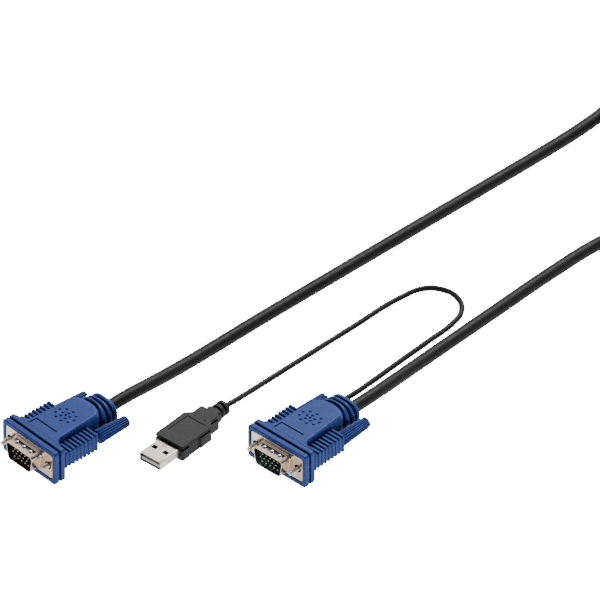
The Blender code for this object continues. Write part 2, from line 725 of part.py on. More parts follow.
def knob_mesh(slot_turn):
    front = KNOB_FRONT_DIAMETER / 2
    rear = KNOB_REAR_DIAMETER / 2
    start = BLOCK_END + TOUCH_GAP
    end = start + KNOB_LENGTH
    fluted = end - KNOB_ROUNDING
    sections = [
        (start, fluted_outline(front - KNOB_FLUTE_DEPTH, 0.0)),
        (start + KNOB_COLLAR, fluted_outline(front - KNOB_FLUTE_DEPTH, 0.0)),
        (start + KNOB_COLLAR, fluted_outline(front, KNOB_FLUTE_DEPTH)),
        (fluted, fluted_outline(rear, KNOB_FLUTE_DEPTH)),
        (end, fluted_outline(rear - KNOB_ROUNDING, 0.0)),
    ]
    bore_radius = SCREW_DIAMETER / 2 + TOUCH_GAP
    bore_end = start + SCREW_IN_KNOB + TOUCH_GAP
    bore = rod("bore", bore_radius, 12, start - PIECE_OVERSHOOT, bore_end)
    across = KNOB_FRONT_DIAMETER / 2
    along = Vector((math.cos(math.radians(slot_turn)), math.sin(math.radians(slot_turn))))
    aside = Vector((-along.y, along.x)) * (KNOB_SLOT_WIDTH / 2)
    along *= across
    corners = [-along - aside, along - aside, along + aside, -along + aside]
    outline = [(corner.x, corner.y) for corner in corners]
    slot = prism_y("slot", outline, end - KNOB_SLOT_DEPTH, end + PIECE_OVERSHOOT)
    return cut(loft("knob", sections), [bore, slot])


def add_thumbscrew(name, x, parent, materials):
    drawn = DRAWN_BACK[name]
    place = (x, drawn, AXIS_HEIGHT)
    add_piece(name + "_screw", screw_mesh(), materials["nickel"], parent, place, smooth=35)
    add_piece(name + "_clip", clip_mesh(), materials["nickel"], parent, place)
    knob = knob_mesh(SLOT_TURN[name])
    add_piece(name + "_knob", knob, materials["hood_blue"], parent, place, smooth=50)


def add_video_plug(prefix, place, insulator_material, materials):
    parent = add_place(prefix + "_place", place)
    add_piece(prefix + "_hood", hood_mesh(), materials["hood_blue"], parent)
    add_piece(prefix + "_front_shell", front_shell_mesh(), materials["nickel"], parent)
    add_piece(prefix + "_insulator", insulator_mesh(), materials[insulator_material], parent)
    pin = pin_mesh()
    for index, (x, z) in enumerate(pin_places()):
        name = f"{prefix}_pin_{index + 1:02d}"
        add_piece(name, pin, materials["gold"], parent, (x, 0.0, z), smooth=40)
    add_thumbscrew(prefix + "_left", -SCREW_X, parent, materials)
    add_thumbscrew(prefix + "_right", SCREW_X, parent, materials)
    return parent


# USB plug


def usb_shell_mesh():
    end = USB_SHELL_SHOWN + USB_SHELL_HIDDEN
    centre = (0.0, USB_AXIS_HEIGHT)
    outer = box_outline(USB_SHELL_WIDTH, USB_SHELL_HEIGHT, USB_SHELL_CORNER, 2, centre)
    inner_width = USB_SHELL_WIDTH - 2 * USB_SHELL_WALL
    inner_height = USB_SHELL_HEIGHT - 2 * USB_SHELL_WALL
    inner_corner = USB_SHELL_CORNER - USB_SHELL_WALL
    inner = box_outline(inner_width, inner_height, inner_corner, 1, centre)
    cutters = [prism_y("inside", inner, -PIECE_OVERSHOOT, end + PIECE_OVERSHOOT)]
    for side in (-1, 1):
        middle = (side * USB_WINDOW_SPACING / 2, USB_WINDOW_PLACE + USB_WINDOW_LENGTH / 2)
        window = box_outline(USB_WINDOW_WIDTH, USB_WINDOW_LENGTH, 0.2 * mm, 1, middle)
        cutters.append(prism_z("window", window, -PIECE_OVERSHOOT, 2 * USB_AXIS_HEIGHT))
    return cut(prism_y("usb_shell", outer, 0.0, end), cutters)


def tongue_box():
    """The tongue's width, lowest and highest point: it lies on the shell's floor."""
    width = USB_SHELL_WIDTH - 2 * USB_SHELL_WALL - 2 * TOUCH_GAP
    low = USB_AXIS_HEIGHT - USB_SHELL_HEIGHT / 2 + USB_SHELL_WALL + TOUCH_GAP
    return width, low, low + TONGUE_THICKNESS


def usb_tongue_mesh():
    width, low, high = tongue_box()
    end = USB_SHELL_SHOWN + USB_SHELL_HIDDEN - TOUCH_GAP
    outline = box_outline(width, high - low, 0.2 * mm, 1, (0.0, (low + high) / 2))
    slots = []
    for x, length in zip(CONTACT_PLACES, CONTACT_LENGTHS):
        slot_width = CONTACT_WIDTH + 2 * TOUCH_GAP
        slot_length = length + 2 * TOUCH_GAP
        middle = (x, CONTACT_SET_BACK - TOUCH_GAP + slot_length / 2)
        slot = box_outline(slot_width, slot_length, 0.1 * mm, 1, middle)
        floor = high - CONTACT_THICKNESS - TOUCH_GAP
        slots.append(prism_z("slot", slot, floor, high + PIECE_OVERSHOOT))
    return cut(prism_y("usb_tongue", outline, TONGUE_SET_BACK, end), slots)


def usb_contact_mesh(x, length):
    high = tongue_box()[2]
    middle = (x, CONTACT_SET_BACK + length / 2)
    outline = box_outline(CONTACT_WIDTH, length, 0.1 * mm, 1, middle)
    return prism_z("usb_contact", outline, high - CONTACT_THICKNESS, high)


def usb_outline(slim):
    """The grip's outline from above: wide front, sloping shoulders, slim tail."""
    wide = USB_GRIP_WIDTH / 2 - slim
    narrow = USB_TAIL_WIDTH / 2 - slim
    front = USB_GRIP_START + slim
    shoulder = USB_GRIP_START + USB_GRIP_LENGTH
    back = USB_NECK_START - slim
    right = [(wide, front), (wide, shoulder), (narrow, USB_TAIL_START), (narrow, back)]
    left = [(-x, y) for x, y in reversed(right)]
    return rounded_outline(right + left, USB_CORNER, 2)


def usb_overmould_mesh():
    top = USB_GRIP_HEIGHT
    seam_top = top - USB_TOP_PLATE
    seam_low = seam_top - USB_SEAM_HEIGHT
    grip = prism_z("usb_overmould", usb_outline(0.0), 0.0, seam_low)
    for side in (-1, 1):
        middle = (USB_GRIP_RECESS_FROM + USB_GRIP_RECESS_TO) / 2
        length = USB_GRIP_RECESS_TO - USB_GRIP_RECESS_FROM
        x = side * (USB_GRIP_WIDTH / 2 + USB_CORNER - USB_GRIP_RECESS)
        place = (x, USB_GRIP_START + middle)
        recess = box_outline(2 * USB_CORNER, length, 0.2 * mm, 1, place)
        grip = cut(grip, [prism_z("recess", recess, -PIECE_OVERSHOOT, top)])
    overlap = TOUCH_GAP
    core = prism_z("core", usb_outline(USB_SEAM_DEPTH), seam_low - overlap, seam_top + overlap)
    plate = prism_z("plate", usb_outline(0.0), seam_top, top)
    centre = (0.0, USB_AXIS_HEIGHT)
    neck = box_outline(USB_NECK_WIDTH, USB_NECK_HEIGHT, 2 * USB_CORNER, 4, centre)
    neck_mesh = prism_y("neck", neck, USB_NECK_START - USB_CORNER, USB_RINGS_START)
    sections = []
    y = USB_RINGS_START - USB_CORNER
    slim_radius = USB_RING_RADIUS - USB_RING_GROOVE_DEPTH
    sections.append((y, circle_outline(slim_radius, 16, centre)))
    y = USB_RINGS_START
    for _ in range(USB_RING_COUNT):
        y += USB_RING_GROOVE
        sections.append((y, circle_outline(slim_radius, 16, centre)))
        sections.append((y, circle_outline(USB_RING_RADIUS, 16, centre)))
        y += USB_RING_LENGTH
        sections.append((y, circle_outline(USB_RING_RADIUS, 16, centre)))
        if y < USB_END - TOUCH_GAP:
            sections.append((y, circle_outline(slim_radius, 16, centre)))
    grip = joined(grip, [core, plate, neck_mesh, loft("rings", sections)])
    hollow = box_outline(
        USB_SHELL_WIDTH + 2 * TOUCH_GAP,
        USB_SHELL_HEIGHT + 2 * TOUCH_GAP,
        USB_SHELL_CORNER + TOUCH_GAP,
        2,
        centre,
    )
    start = USB_GRIP_START - PIECE_OVERSHOOT
    end = USB_SHELL_SHOWN + USB_SHELL_HIDDEN + TOUCH_GAP
    return cut(grip, [prism_y("hollow", hollow, start, end)])


def add_usb_plug(materials):
    parent = add_place("usb_place", USB_PLACE)
    add_piece("usb_overmould", usb_overmould_mesh(), materials["usb_black"], parent)
    add_piece("usb_shell", usb_shell_mesh(), materials["nickel"], parent)
    add_piece("usb_tongue", usb_tongue_mesh(), materials["tongue_white"], parent)
    for index, (x, length) in enumerate(zip(CONTACT_PLACES, CONTACT_LENGTHS)):
        mesh = usb_contact_mesh(x, length)
        add_piece(f"usb_contact_{index + 1}", mesh, materials["gold"], parent)
    return parent


# Cords


def plug_point(place, x, y, z):
    """A point of a plug's own frame, in the part's frame."""
    turn = math.radians(place[2])
    return Vector(
        (
            place[0] + x * math.cos(turn) - y * math.sin(turn),
            place[1] + x * math.sin(turn) + y * math.cos(turn),
            z,
        )
    )


def smooth_path(points, spacing):
    """Evenly spaced points on a smooth curve through the points given."""
    knots = [Vector(point) for point in points]
    knots = [2 * knots[0] - knots[1]] + knots + [2 * knots[-1] - knots[-2]]
    fine = []
    pieces = 24
    for before, start, end, after in zip(knots, knots[1:], knots[2:], knots[3:]):
        times = [0.0]
        for near, far in ((before, start), (start, end), (end, after)):
            times.append(times[-1] + math.sqrt((far - near).length))
        for step in range(pieces):
            t = times[1] + (times[2] - times[1]) * step / pieces
            a = [
                ((times[i + 1] - t) * near + (t - times[i]) * far) / (times[i + 1] - times[i])
                for i, (near, far) in enumerate(((before, start), (start, end), (end, after)))
            ]
            b = [
                ((times[i + 2] - t) * a[i] + (t - times[i]) * a[i + 1]) / (times[i + 2] - times[i])
                for i in range(2)
            ]
            fine.append(((times[2] - t) * b[0] + (t - times[1]) * b[1]) / (times[2] - times[1]))
    fine.append(knots[-2])
    lengths = [0.0]
    for near, far in zip(fine, fine[1:]):
        lengths.append(lengths[-1] + (far - near).length)
    count = max(2, round(lengths[-1] / spacing))
    result = []
    index = 0
    for step in range(count + 1):
        goal = lengths[-1] * step / count
        while index < len(fine) - 2 and lengths[index + 1] < goal:
            index += 1
        share = (goal - lengths[index]) / (lengths[index + 1] - lengths[index])
        result.append(fine[index].lerp(fine[index + 1], share))
    return result


def cable_route_a():
    """The main cable's middle line from plug A to the coil."""
    rest = CABLE_DIAMETER / 2 + 0.02 * mm
    exit_point = plug_point(PLUG_A_PLACE, 0.0, HOOD_LENGTH + TOUCH_GAP, AXIS_HEIGHT)
    return [
        exit_point,
        (-36.6 * mm, 3.1 * mm, 8.5 * mm),
        (-36.4 * mm, 17.1 * mm, 7.0 * mm),
        (-36.7 * mm, 37.6 * mm, 4.6 * mm),
        (-36.7 * mm, 57.2 * mm, 3.3 * mm),
        (-35.8 * mm, 81.9 * mm, rest),
        (-33.1 * mm, 127.7 * mm, rest),
        (-30.2 * mm, 173.5 * mm, rest),
        (-27.3 * mm, 219.3 * mm, rest),
        (-24.5 * mm, 265.1 * mm, rest),
        (-23.7 * mm, 284.1 * mm, 3.2 * mm),
        (-23.9 * mm, 301.4 * mm, 3.8 * mm),
    ]


def cable_route_b():
    """The main cable's middle line from the coil to plug B."""
    rest = CABLE_DIAMETER / 2 + 0.02 * mm
    exit_point = plug_point(PLUG_B_PLACE, CABLE_OFFSET_B, HOOD_LENGTH + TOUCH_GAP, AXIS_HEIGHT)
    return [
        (53.8 * mm, 300.9 * mm, 9.6 * mm),
        (51.6 * mm, 283.1 * mm, 7.6 * mm),
        (47.1 * mm, 264.1 * mm, 4.6 * mm),
        (42.1 * mm, 248.1 * mm, 3.3 * mm),
        (38.2 * mm, 232.0 * mm, rest),
        (36.6 * mm, 199.6 * mm, rest),
        (36.8 * mm, 166.8 * mm, rest),
        (37.4 * mm, 133.5 * mm, 3.4 * mm),
        (38.4 * mm, 116.2 * mm, 4.4 * mm),
        (40.1 * mm, 98.0 * mm, 6.2 * mm),
        (41.9 * mm, 76.5 * mm, 8.2 * mm),
        exit_point,
    ]


def usb_route():
    """The thin cord's middle line from plug B round its loop to the USB plug."""
    rest = CORD_DIAMETER / 2 + 0.02 * mm
    start = plug_point(PLUG_B_PLACE, CORD_OFFSET_B, HOOD_LENGTH + TOUCH_GAP, AXIS_HEIGHT)
    end = plug_point(USB_PLACE, 0.0, USB_END + TOUCH_GAP, USB_AXIS_HEIGHT)
    return [
        start,
        (35.4 * mm, 71.1 * mm, 8.4 * mm),
        (34.0 * mm, 85.1 * mm, 6.8 * mm),
        (30.5 * mm, 108.4 * mm, 3.4 * mm),
        (28.5 * mm, 130.1 * mm, 1.6 * mm),
        (27.7 * mm, 144.0 * mm, rest),
        (24.4 * mm, 154.1 * mm, rest),
        (16.0 * mm, 159.9 * mm, rest),
        (7.3 * mm, 159.2 * mm, rest),
        (1.2 * mm, 154.1 * mm, rest),
        (-1.6 * mm, 144.1 * mm, rest),
        (-3.1 * mm, 111.8 * mm, rest),
        (-4.2 * mm, 80.4 * mm, rest),
        (-4.8 * mm, 51.1 * mm, 1.7 * mm),
        (-3.9 * mm, 40.1 * mm, 3.2 * mm),
        end,
    ]


def add_cord(name, points, diameter, resolution, material):
    curve = bpy.data.curves.new(name, "CURVE")
    curve.dimensions = "3D"
    curve.bevel_depth = diameter / 2
    curve.bevel_resolution = resolution
    curve.use_fill_caps = True
    spline = curve.splines.new("POLY")
    spline.points.add(len(points) - 1)
    for point, place in zip(spline.points, points):
        point.co = (place.x, place.y, place.z, 1.0)
    curve.materials.append(material)
    cord = bpy.data.objects.new(name, curve)
    bpy.context.scene.collection.objects.link(cord)
    return cord


def coil_tie_mesh():
    """A band round the coil's section, square to its turns."""
    half = TIE_WIDTH / 2
    outer_side = COIL_OUTER_RADIUS + TOUCH_GAP
    inner_side = math.sqrt(COIL_INNER_RADIUS**2 - half**2) - TOUCH_GAP
    inner_width = outer_side - inner_side
    inner_height = COIL_HEIGHT + 2 * TOUCH_GAP
    wall = 2 * TIE_THICKNESS
    middle = ((outer_side + inner_side) / 2, COIL_BASE + COIL_HEIGHT / 2)
    corner = COIL_CHAMFER + TIE_THICKNESS
    outer = box_outline(inner_width + wall, inner_height + wall, corner, 3, middle)
    inner = box_outline(inner_width, inner_height, COIL_CHAMFER, 3, middle)
    band = prism_y("coil_tie", outer, -half, half)
    return cut(band, [prism_y("inside", inner, -half - PIECE_OVERSHOOT, half + PIECE_OVERSHOOT)])


def add_cords(materials):
    black = materials["cable_black"]
    path_a = smooth_path(cable_route_a(), CABLE_POINT_SPACING)
    path_b = smooth_path(cable_route_b(), CABLE_POINT_SPACING)
    path_usb = smooth_path(usb_route(), CORD_POINT_SPACING)
    add_cord("cable_from_a", path_a, CABLE_DIAMETER, 3, black)
    add_cord("cable_from_b", path_b, CABLE_DIAMETER, 3, black)
    add_cord("usb_cord", path_usb, CORD_DIAMETER, 2, black)
    place = (COIL_CENTRE[0], COIL_CENTRE[1], 0.0)
    top = COIL_BASE + COIL_HEIGHT
    ring = turned_ring(
        "cable_coil", COIL_INNER_RADIUS, COIL_OUTER_RADIUS, COIL_BASE, top, COIL_CHAMFER, 40
    )
    add_piece("cable_coil", ring, black, None, place, smooth=40)
    tie = add_piece("coil_tie", coil_tie_mesh(), materials["tie_black"], None, place)
    tie.rotation_euler = (0.0, 0.0, TIE_ANGLE)


def main():
    clear_scene()
    materials = {name: make_material(name) for name in COLOURS}
    add_video_plug("a", PLUG_A_PLACE, "insulator_black", materials)
    add_video_plug("b", PLUG_B_PLACE, "insulator_teal", materials)
    add_usb_plug(materials)
    add_cords(materials)


main()
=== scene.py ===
import math

import bmesh
import bpy
from mathutils import Matrix, Vector


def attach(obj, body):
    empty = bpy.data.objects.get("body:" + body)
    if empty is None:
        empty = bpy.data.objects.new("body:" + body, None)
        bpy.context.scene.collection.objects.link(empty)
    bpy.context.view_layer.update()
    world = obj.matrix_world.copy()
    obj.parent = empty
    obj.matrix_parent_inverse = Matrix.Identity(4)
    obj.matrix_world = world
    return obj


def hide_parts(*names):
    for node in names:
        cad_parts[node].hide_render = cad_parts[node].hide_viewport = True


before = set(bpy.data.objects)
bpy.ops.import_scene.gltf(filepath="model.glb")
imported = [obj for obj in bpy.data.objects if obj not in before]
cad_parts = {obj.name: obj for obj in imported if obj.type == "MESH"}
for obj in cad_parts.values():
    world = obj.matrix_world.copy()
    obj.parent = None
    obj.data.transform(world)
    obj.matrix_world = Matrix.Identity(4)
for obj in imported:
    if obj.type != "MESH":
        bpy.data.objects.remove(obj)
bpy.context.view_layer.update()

mm = 0.001

# Places of the plugs, as in the part's source: x, y, turn in degrees about Z
PLUG_A = (-40.87 * mm, -55.75 * mm, -4.8)
PLUG_B = (40.78 * mm, 16.2 * mm, 0.0)
USB = (-1.62 * mm, -19.79 * mm, 2.5)

AXIS = 8.75 * mm  # height of the video plugs' middle
USB_AXIS = 4.0 * mm  # height of the USB plug's middle
SCREW_X = 12.495 * mm  # from the video plug's middle to each thumbscrew's axis
HOOD_END = 45.9 * mm
USB_END = 50.1 * mm
GAP = 0.3 * mm  # between a cord and its plug, and between the coil and its tie
CABLE = 6.0 * mm  # the main cable's diameter
CORD = 2.6 * mm  # the thin cord's diameter
REST_GAP = 0.02 * mm  # between a cord that lies on the floor and the floor

# The connector's standard sizes
SKIRT = (16.92 * mm, 8.36 * mm)  # inside
FLANGE = (30.81 * mm, 12.55 * mm)
PIN_PITCH = 2.29 * mm
ROW_PITCH = 1.98 * mm

# A flat of more than this area, its faces level to within this angle, keeps an even shading
LEAST_FLAT = 12.0 * mm * mm
FLAT_ANGLE = math.radians(0.6)

# The white studio's strengths: as the camera sees it, in reflections and as light
FLOOR_STRENGTHS = (16.0, 0.74, 0.95)
WORLD_STRENGTHS = (16.0, 0.9, 0.2)
FLOOR_HALF = 4.0
SCENE_MIDDLE = (0.0, 0.1, 0.0)

# Camera: the photograph is almost without perspective, so it stands far off
VIEW_AZIMUTH = math.radians(43.0)
VIEW_ELEVATION = math.radians(38.5)
VIEW_DISTANCE = 8.0
VIEW_TARGET = Vector((-34.45 * mm, 112.04 * mm, 0.0))


def make_camera():
    data = bpy.data.cameras.new("camera")
    data.lens = 1080.0
    data.sensor_width = 36.0
    data.clip_start = 0.1
    data.clip_end = 200.0
    camera = bpy.data.objects.new("camera", data)
    bpy.context.scene.collection.objects.link(camera)
    flat = math.cos(VIEW_ELEVATION)
    back = Vector(
        (
            math.sin(VIEW_AZIMUTH) * flat,
            -math.cos(VIEW_AZIMUTH) * flat,
            math.sin(VIEW_ELEVATION),
        )
    )
    camera.location = VIEW_TARGET + back * VIEW_DISTANCE
    camera.rotation_euler = back.to_track_quat("Z", "Y").to_euler()
    bpy.context.scene.camera = camera


# Materials


def strength_by_ray(nodes, links, seen, mirrored, cast):
    """A light strength for direct sight, for reflections and for the light it casts."""
    path = nodes.new("ShaderNodeLightPath")
    sight = nodes.new("ShaderNodeMapRange")
    sight.inputs["To Min"].default_value = cast
    sight.inputs["To Max"].default_value = seen
    links.new(path.outputs["Is Camera Ray"], sight.inputs["Value"])
    gloss = nodes.new("ShaderNodeMath")
    gloss.operation = "MULTIPLY_ADD"
    gloss.inputs[1].default_value = mirrored - cast
    links.new(path.outputs["Is Glossy Ray"], gloss.inputs[0])
    links.new(sight.outputs["Result"], gloss.inputs[2])
    return gloss.outputs["Value"]


class Finish:
    """A Principled material whose colour, roughness and bump vary over the surface."""

    def __init__(self, name, colour, roughness, metallic=0.0, specular=0.5):
        self.material = bpy.data.materials.new(name)
        self.material.use_nodes = True
        self.material.diffuse_color = (*colour, 1.0)
        tree = self.material.node_tree
        self.nodes = tree.nodes
        self.links = tree.links
        self.shader = self.nodes["Principled BSDF"]
        self.shader.inputs["Base Color"].default_value = (*colour, 1.0)
        self.shader.inputs["Roughness"].default_value = roughness
        self.shader.inputs["Metallic"].default_value = metallic
        self.shader.inputs["Specular IOR Level"].default_value = specular
        self.colour = colour
        self.coordinates = self.nodes.new("ShaderNodeTexCoord").outputs["Object"]
        self.normal = None

    def stretched(self, scale):
        mapping = self.nodes.new("ShaderNodeMapping")
        mapping.inputs["Scale"].default_value = scale
        self.links.new(self.coordinates, mapping.inputs["Vector"])
        return mapping.outputs["Vector"]

    def noise(self, scale, detail=3.0, vector=None):
        node = self.nodes.new("ShaderNodeTexNoise")
        node.inputs["Scale"].default_value = scale
        node.inputs["Detail"].default_value = detail
        node.inputs["Roughness"].default_value = 0.55
        self.links.new(vector or self.coordinates, node.inputs["Vector"])
        return node.outputs["Fac"]

    def voronoi(self, scale):
        node = self.nodes.new("ShaderNodeTexVoronoi")
        node.inputs["Scale"].default_value = scale
        self.links.new(self.coordinates, node.inputs["Vector"])
        return node.outputs["Distance"]

    def ramp(self, value, stops):
        node = self.nodes.new("ShaderNodeValToRGB")
        elements = node.color_ramp.elements
        while len(elements) < len(stops):
            elements.new(0.5)
        for element, (place, colour) in zip(elements, stops):
            element.position = place
            element.color = (*colour, 1.0)
        self.links.new(value, node.inputs["Fac"])
        return node.outputs["Color"]

    def vary_colour(self, value, amount):
        dark = tuple(c * (1.0 - amount) for c in self.colour)
        light = tuple(min(1.0, c * (1.0 + amount)) for c in self.colour)
        colour = self.ramp(value, [(0.35, dark), (0.65, light)])
        self.links.new(colour, self.shader.inputs["Base Color"])
        return colour

    def paint_shade_in_hollows(self, colour, dark, reach, start=0.25, end=0.85):
        """Painted shade: the colour darkens deep in the grooves, where less light reaches."""
        hollow = self.nodes.new("ShaderNodeAmbientOcclusion")
        hollow.inputs["Distance"].default_value = reach
        hollow.samples = 8
        share = self.nodes.new("ShaderNodeMapRange")
        share.inputs["From Min"].default_value = start
        share.inputs["From Max"].default_value = end
        self.links.new(hollow.outputs["AO"], share.inputs["Value"])
        mix = self.nodes.new("ShaderNodeMix")
        mix.data_type = "RGBA"
        mix.inputs["A"].default_value = (*dark, 1.0)
        self.links.new(share.outputs["Result"], mix.inputs["Factor"])
        self.links.new(colour, mix.inputs["B"])
        self.links.new(mix.outputs["Result"], self.shader.inputs["Base Color"])

    def glow(self, seen, mirrored, cast):
        """White glow: its strength for direct sight, in reflections and as light."""
        self.shader.inputs["Emission Color"].default_value = (1.0, 1.0, 1.0, 1.0)
        strength = strength_by_ray(self.nodes, self.links, seen, mirrored, cast)
        self.links.new(strength, self.shader.inputs["Emission Strength"])

    def vary_roughness(self, value, low, high):
        node = self.nodes.new("ShaderNodeMapRange")
        node.inputs["From Min"].default_value = 0.3
        node.inputs["From Max"].default_value = 0.7
        node.inputs["To Min"].default_value = low
        node.inputs["To Max"].default_value = high
        self.links.new(value, node.inputs["Value"])
        self.links.new(node.outputs["Result"], self.shader.inputs["Roughness"])

    def bump(self, value, strength, depth):
        node = self.nodes.new("ShaderNodeBump")
        node.inputs["Strength"].default_value = strength
        node.inputs["Distance"].default_value = depth
        self.links.new(value, node.inputs["Height"])
        if self.normal is not None:
            self.links.new(self.normal, node.inputs["Normal"])
        self.normal = node.outputs["Normal"]
        self.links.new(self.normal, self.shader.inputs["Normal"])


def make_materials():
    made = {}

    blue = Finish("soft_blue_plastic", (0.025, 0.068, 0.312), 0.46, specular=0.22)
    tone = blue.vary_colour(blue.noise(260.0), 0.08)
    # Painted shade: the blue darkens to navy in the grooves, the ribs and the recess under the
    # top plate.
    blue.paint_shade_in_hollows(tone, (0.002, 0.011, 0.066), 2.4 * mm, 0.2, 0.78)
    blue.vary_roughness(blue.noise(900.0), 0.40, 0.54)
    blue.bump(blue.noise(5200.0, 2.0), 0.20, 0.06 * mm)
    blue.bump(blue.noise(420.0, 2.0), 0.10, 0.10 * mm)
    made["hood_blue"] = blue.material

    nickel = Finish("plated_steel", (0.92, 0.74, 0.59), 0.20, metallic=1.0)
    tone = nickel.vary_colour(nickel.noise(180.0), 0.05)
    # Painted shade: the plating darkens to brown in its hollows, inside the skirt and round the
    # flange's recess.
    nickel.paint_shade_in_hollows(tone, (0.10, 0.055, 0.03), 2.2 * mm, 0.3, 0.9)
    nickel.vary_roughness(nickel.noise(700.0), 0.10, 0.2)
    nickel.bump(nickel.noise(900.0, 3.0, nickel.stretched((0.15, 1.0, 1.0))), 0.10, 0.03 * mm)
    made["nickel"] = nickel.material

    polished = Finish("polished_steel", (1.0, 0.88, 0.74), 0.3, metallic=0.6)
    polished.vary_colour(polished.noise(180.0), 0.05)
    polished.vary_roughness(polished.noise(700.0), 0.22, 0.34)
    made["polished_steel"] = polished.material

    steel = Finish("bright_steel", (1.0, 0.88, 0.75), 0.26, metallic=0.8)
    tone = steel.vary_colour(steel.noise(180.0), 0.04)
    # Painted shade: the USB shell darkens in its hollows.
    steel.paint_shade_in_hollows(tone, (0.10, 0.08, 0.06), 1.6 * mm, 0.3, 0.9)
    steel.vary_roughness(steel.noise(700.0), 0.2, 0.3)
    steel.bump(steel.noise(900.0, 3.0, steel.stretched((1.0, 0.15, 1.0))), 0.10, 0.03 * mm)
    made["bright_steel"] = steel.material

    gold = Finish("gold_flash", (0.88, 0.76, 0.52), 0.24, metallic=1.0)
    tone = gold.vary_colour(gold.noise(600.0), 0.10)
    # Painted shade: the pins darken along their shafts deep in the shell, so that only their tips
    # stay bright.
    gold.paint_shade_in_hollows(tone, (0.006, 0.004, 0.002), 5.0 * mm, 0.25, 0.85)
    gold.vary_roughness(gold.noise(1500.0), 0.12, 0.26)
    made["gold"] = gold.material

    for name, colour in (
        ("insulator_black", (0.010, 0.017, 0.018)),
        ("insulator_teal", (0.034, 0.300, 0.370)),
    ):
        filled = Finish(name + "_resin", colour, 0.42)
        filled.vary_colour(filled.noise(500.0), 0.18)
        filled.vary_roughness(filled.noise(1300.0), 0.34, 0.5)
        filled.bump(filled.noise(4200.0), 0.12, 0.04 * mm)
        made[name] = filled.material

    usb = Finish("matt_black_plastic", (0.028, 0.028, 0.028), 0.52, specular=0.25)
    tone = usb.vary_colour(usb.noise(300.0), 0.12)
    # Painted shade: the grip darkens in its grooves and recesses.
    usb.paint_shade_in_hollows(tone, (0.004, 0.004, 0.004), 2.2 * mm)
    usb.vary_roughness(usb.noise(1100.0), 0.44, 0.6)
    usb.bump(usb.voronoi(3600.0), 0.22, 0.05 * mm)
    made["usb_black"] = usb.material

    white = Finish("tongue_white_resin", (0.74, 0.74, 0.71), 0.42)
    tone = white.vary_colour(white.noise(400.0), 0.04)
    # Painted shade: the tongue darkens deep inside the shell, where little light reaches.
    white.paint_shade_in_hollows(tone, (0.03, 0.026, 0.022), 2.5 * mm, 0.3, 0.95)
    white.bump(white.noise(3000.0), 0.08, 0.03 * mm)
    made["tongue_white"] = white.material

    jacket = Finish("black_cable_jacket", (0.0140, 0.0140, 0.0142), 0.5, specular=0.19)
    jacket.vary_colour(jacket.noise(240.0), 0.25)
    jacket.vary_roughness(jacket.noise(520.0), 0.42, 0.56)
    jacket.bump(jacket.noise(150.0, 2.0), 0.25, 0.12 * mm)
    jacket.bump(jacket.noise(2600.0, 2.0), 0.12, 0.03 * mm)
    made["cable_black"] = jacket.material

    tie = Finish("woven_tie", (0.022, 0.022, 0.024), 0.85, specular=0.25)
    tie.shader.inputs["Sheen Weight"].default_value = 0.25
    tie.shader.inputs["Sheen Roughness"].default_value = 0.5
    tie.vary_colour(tie.noise(1500.0), 0.45)
    tie.bump(tie.voronoi(2200.0), 0.8, 0.25 * mm)
    made["tie_black"] = tie.material
    return made


# Outlines: lists of 2-D points, counter-clockwise


def rounded_outline(corners, radius, steps):
    points = []
    count = len(corners)
    for index, corner in enumerate(corners):
        here = Vector(corner)
        before = (Vector(corners[index - 1]) - here).normalized()
        after = (Vector(corners[(index + 1) % count]) - here).normalized()
        half_angle = before.angle(after) / 2
        centre = here + (before + after).normalized() * (radius / math.sin(half_angle))
        start = here + before * (radius / math.tan(half_angle)) - centre
        end = here + after * (radius / math.tan(half_angle)) - centre
        sweep = math.atan2(start.x * end.y - start.y * end.x, start.dot(end))
        for step in range(steps + 1):
            turn = sweep * step / steps
            x = start.x * math.cos(turn) - start.y * math.sin(turn)
            y = start.x * math.sin(turn) + start.y * math.cos(turn)
            points.append((centre.x + x, centre.y + y))
    return points


def box_outline(width, height, radius, steps, centre):
    x, y = width / 2, height / 2
    corners = [
        (centre[0] - x, centre[1] - y),
        (centre[0] + x, centre[1] - y),
        (centre[0] + x, centre[1] + y),
        (centre[0] - x, centre[1] + y),
    ]
    return rounded_outline(corners, radius, steps)


def square_outline(half_width, low, high):
    """A box with square corners, centred across."""
    return [(-half_width, low), (half_width, low), (half_width, high), (-half_width, high)]


def circle_outline(radius, sides, centre=(0.0, 0.0)):
    points = []
    for index in range(sides):
        turn = 2 * math.pi * index / sides
        points.append((centre[0] + radius * math.cos(turn), centre[1] + radius * math.sin(turn)))
    return points


def skirt_outline(grown):
    """The skirt's D shape, its inner wall grown by so much, wide side up."""
    width, height = SKIRT[0] + 2 * grown, SKIRT[1] + 2 * grown
    half_top = width / 2
    half_bottom = half_top - height * math.tan(math.radians(10.0))
    low, high = AXIS - height / 2, AXIS + height / 2
    corners = [(-half_bottom, low), (half_bottom, low), (half_top, high), (-half_top, high)]
    return rounded_outline(corners, 1.4 * mm + grown, 8)


# Meshes


def mesh_of(shape, name):
    bmesh.ops.recalc_face_normals(shape, faces=shape.faces)
    mesh = bpy.data.meshes.new(name)
    shape.to_mesh(mesh)
    shape.free()
    return mesh


def loft(rings, closed=False):
    """A solid through rings of 3-D points; closed joins the last ring to the first."""
    shape = bmesh.new()
    made = [[shape.verts.new(point) for point in ring] for ring in rings]
    count = len(made[0])
    pairs = list(zip(made, made[1:]))
    if closed:
        pairs.append((made[-1], made[0]))
    for ring, following in pairs:
        for index in range(count):
            after = (index + 1) % count
            shape.faces.new((ring[index], ring[after], following[after], following[index]))
    if not closed:
        shape.faces.new(made[0])
        shape.faces.new(made[-1])
    return mesh_of(shape, "loft")


def along_y(sections):
    return loft([[(x, y, z) for x, z in outline] for y, outline in sections])


def along_z(sections):
    return loft([[(x, y, z) for x, y in outline] for z, outline in sections])


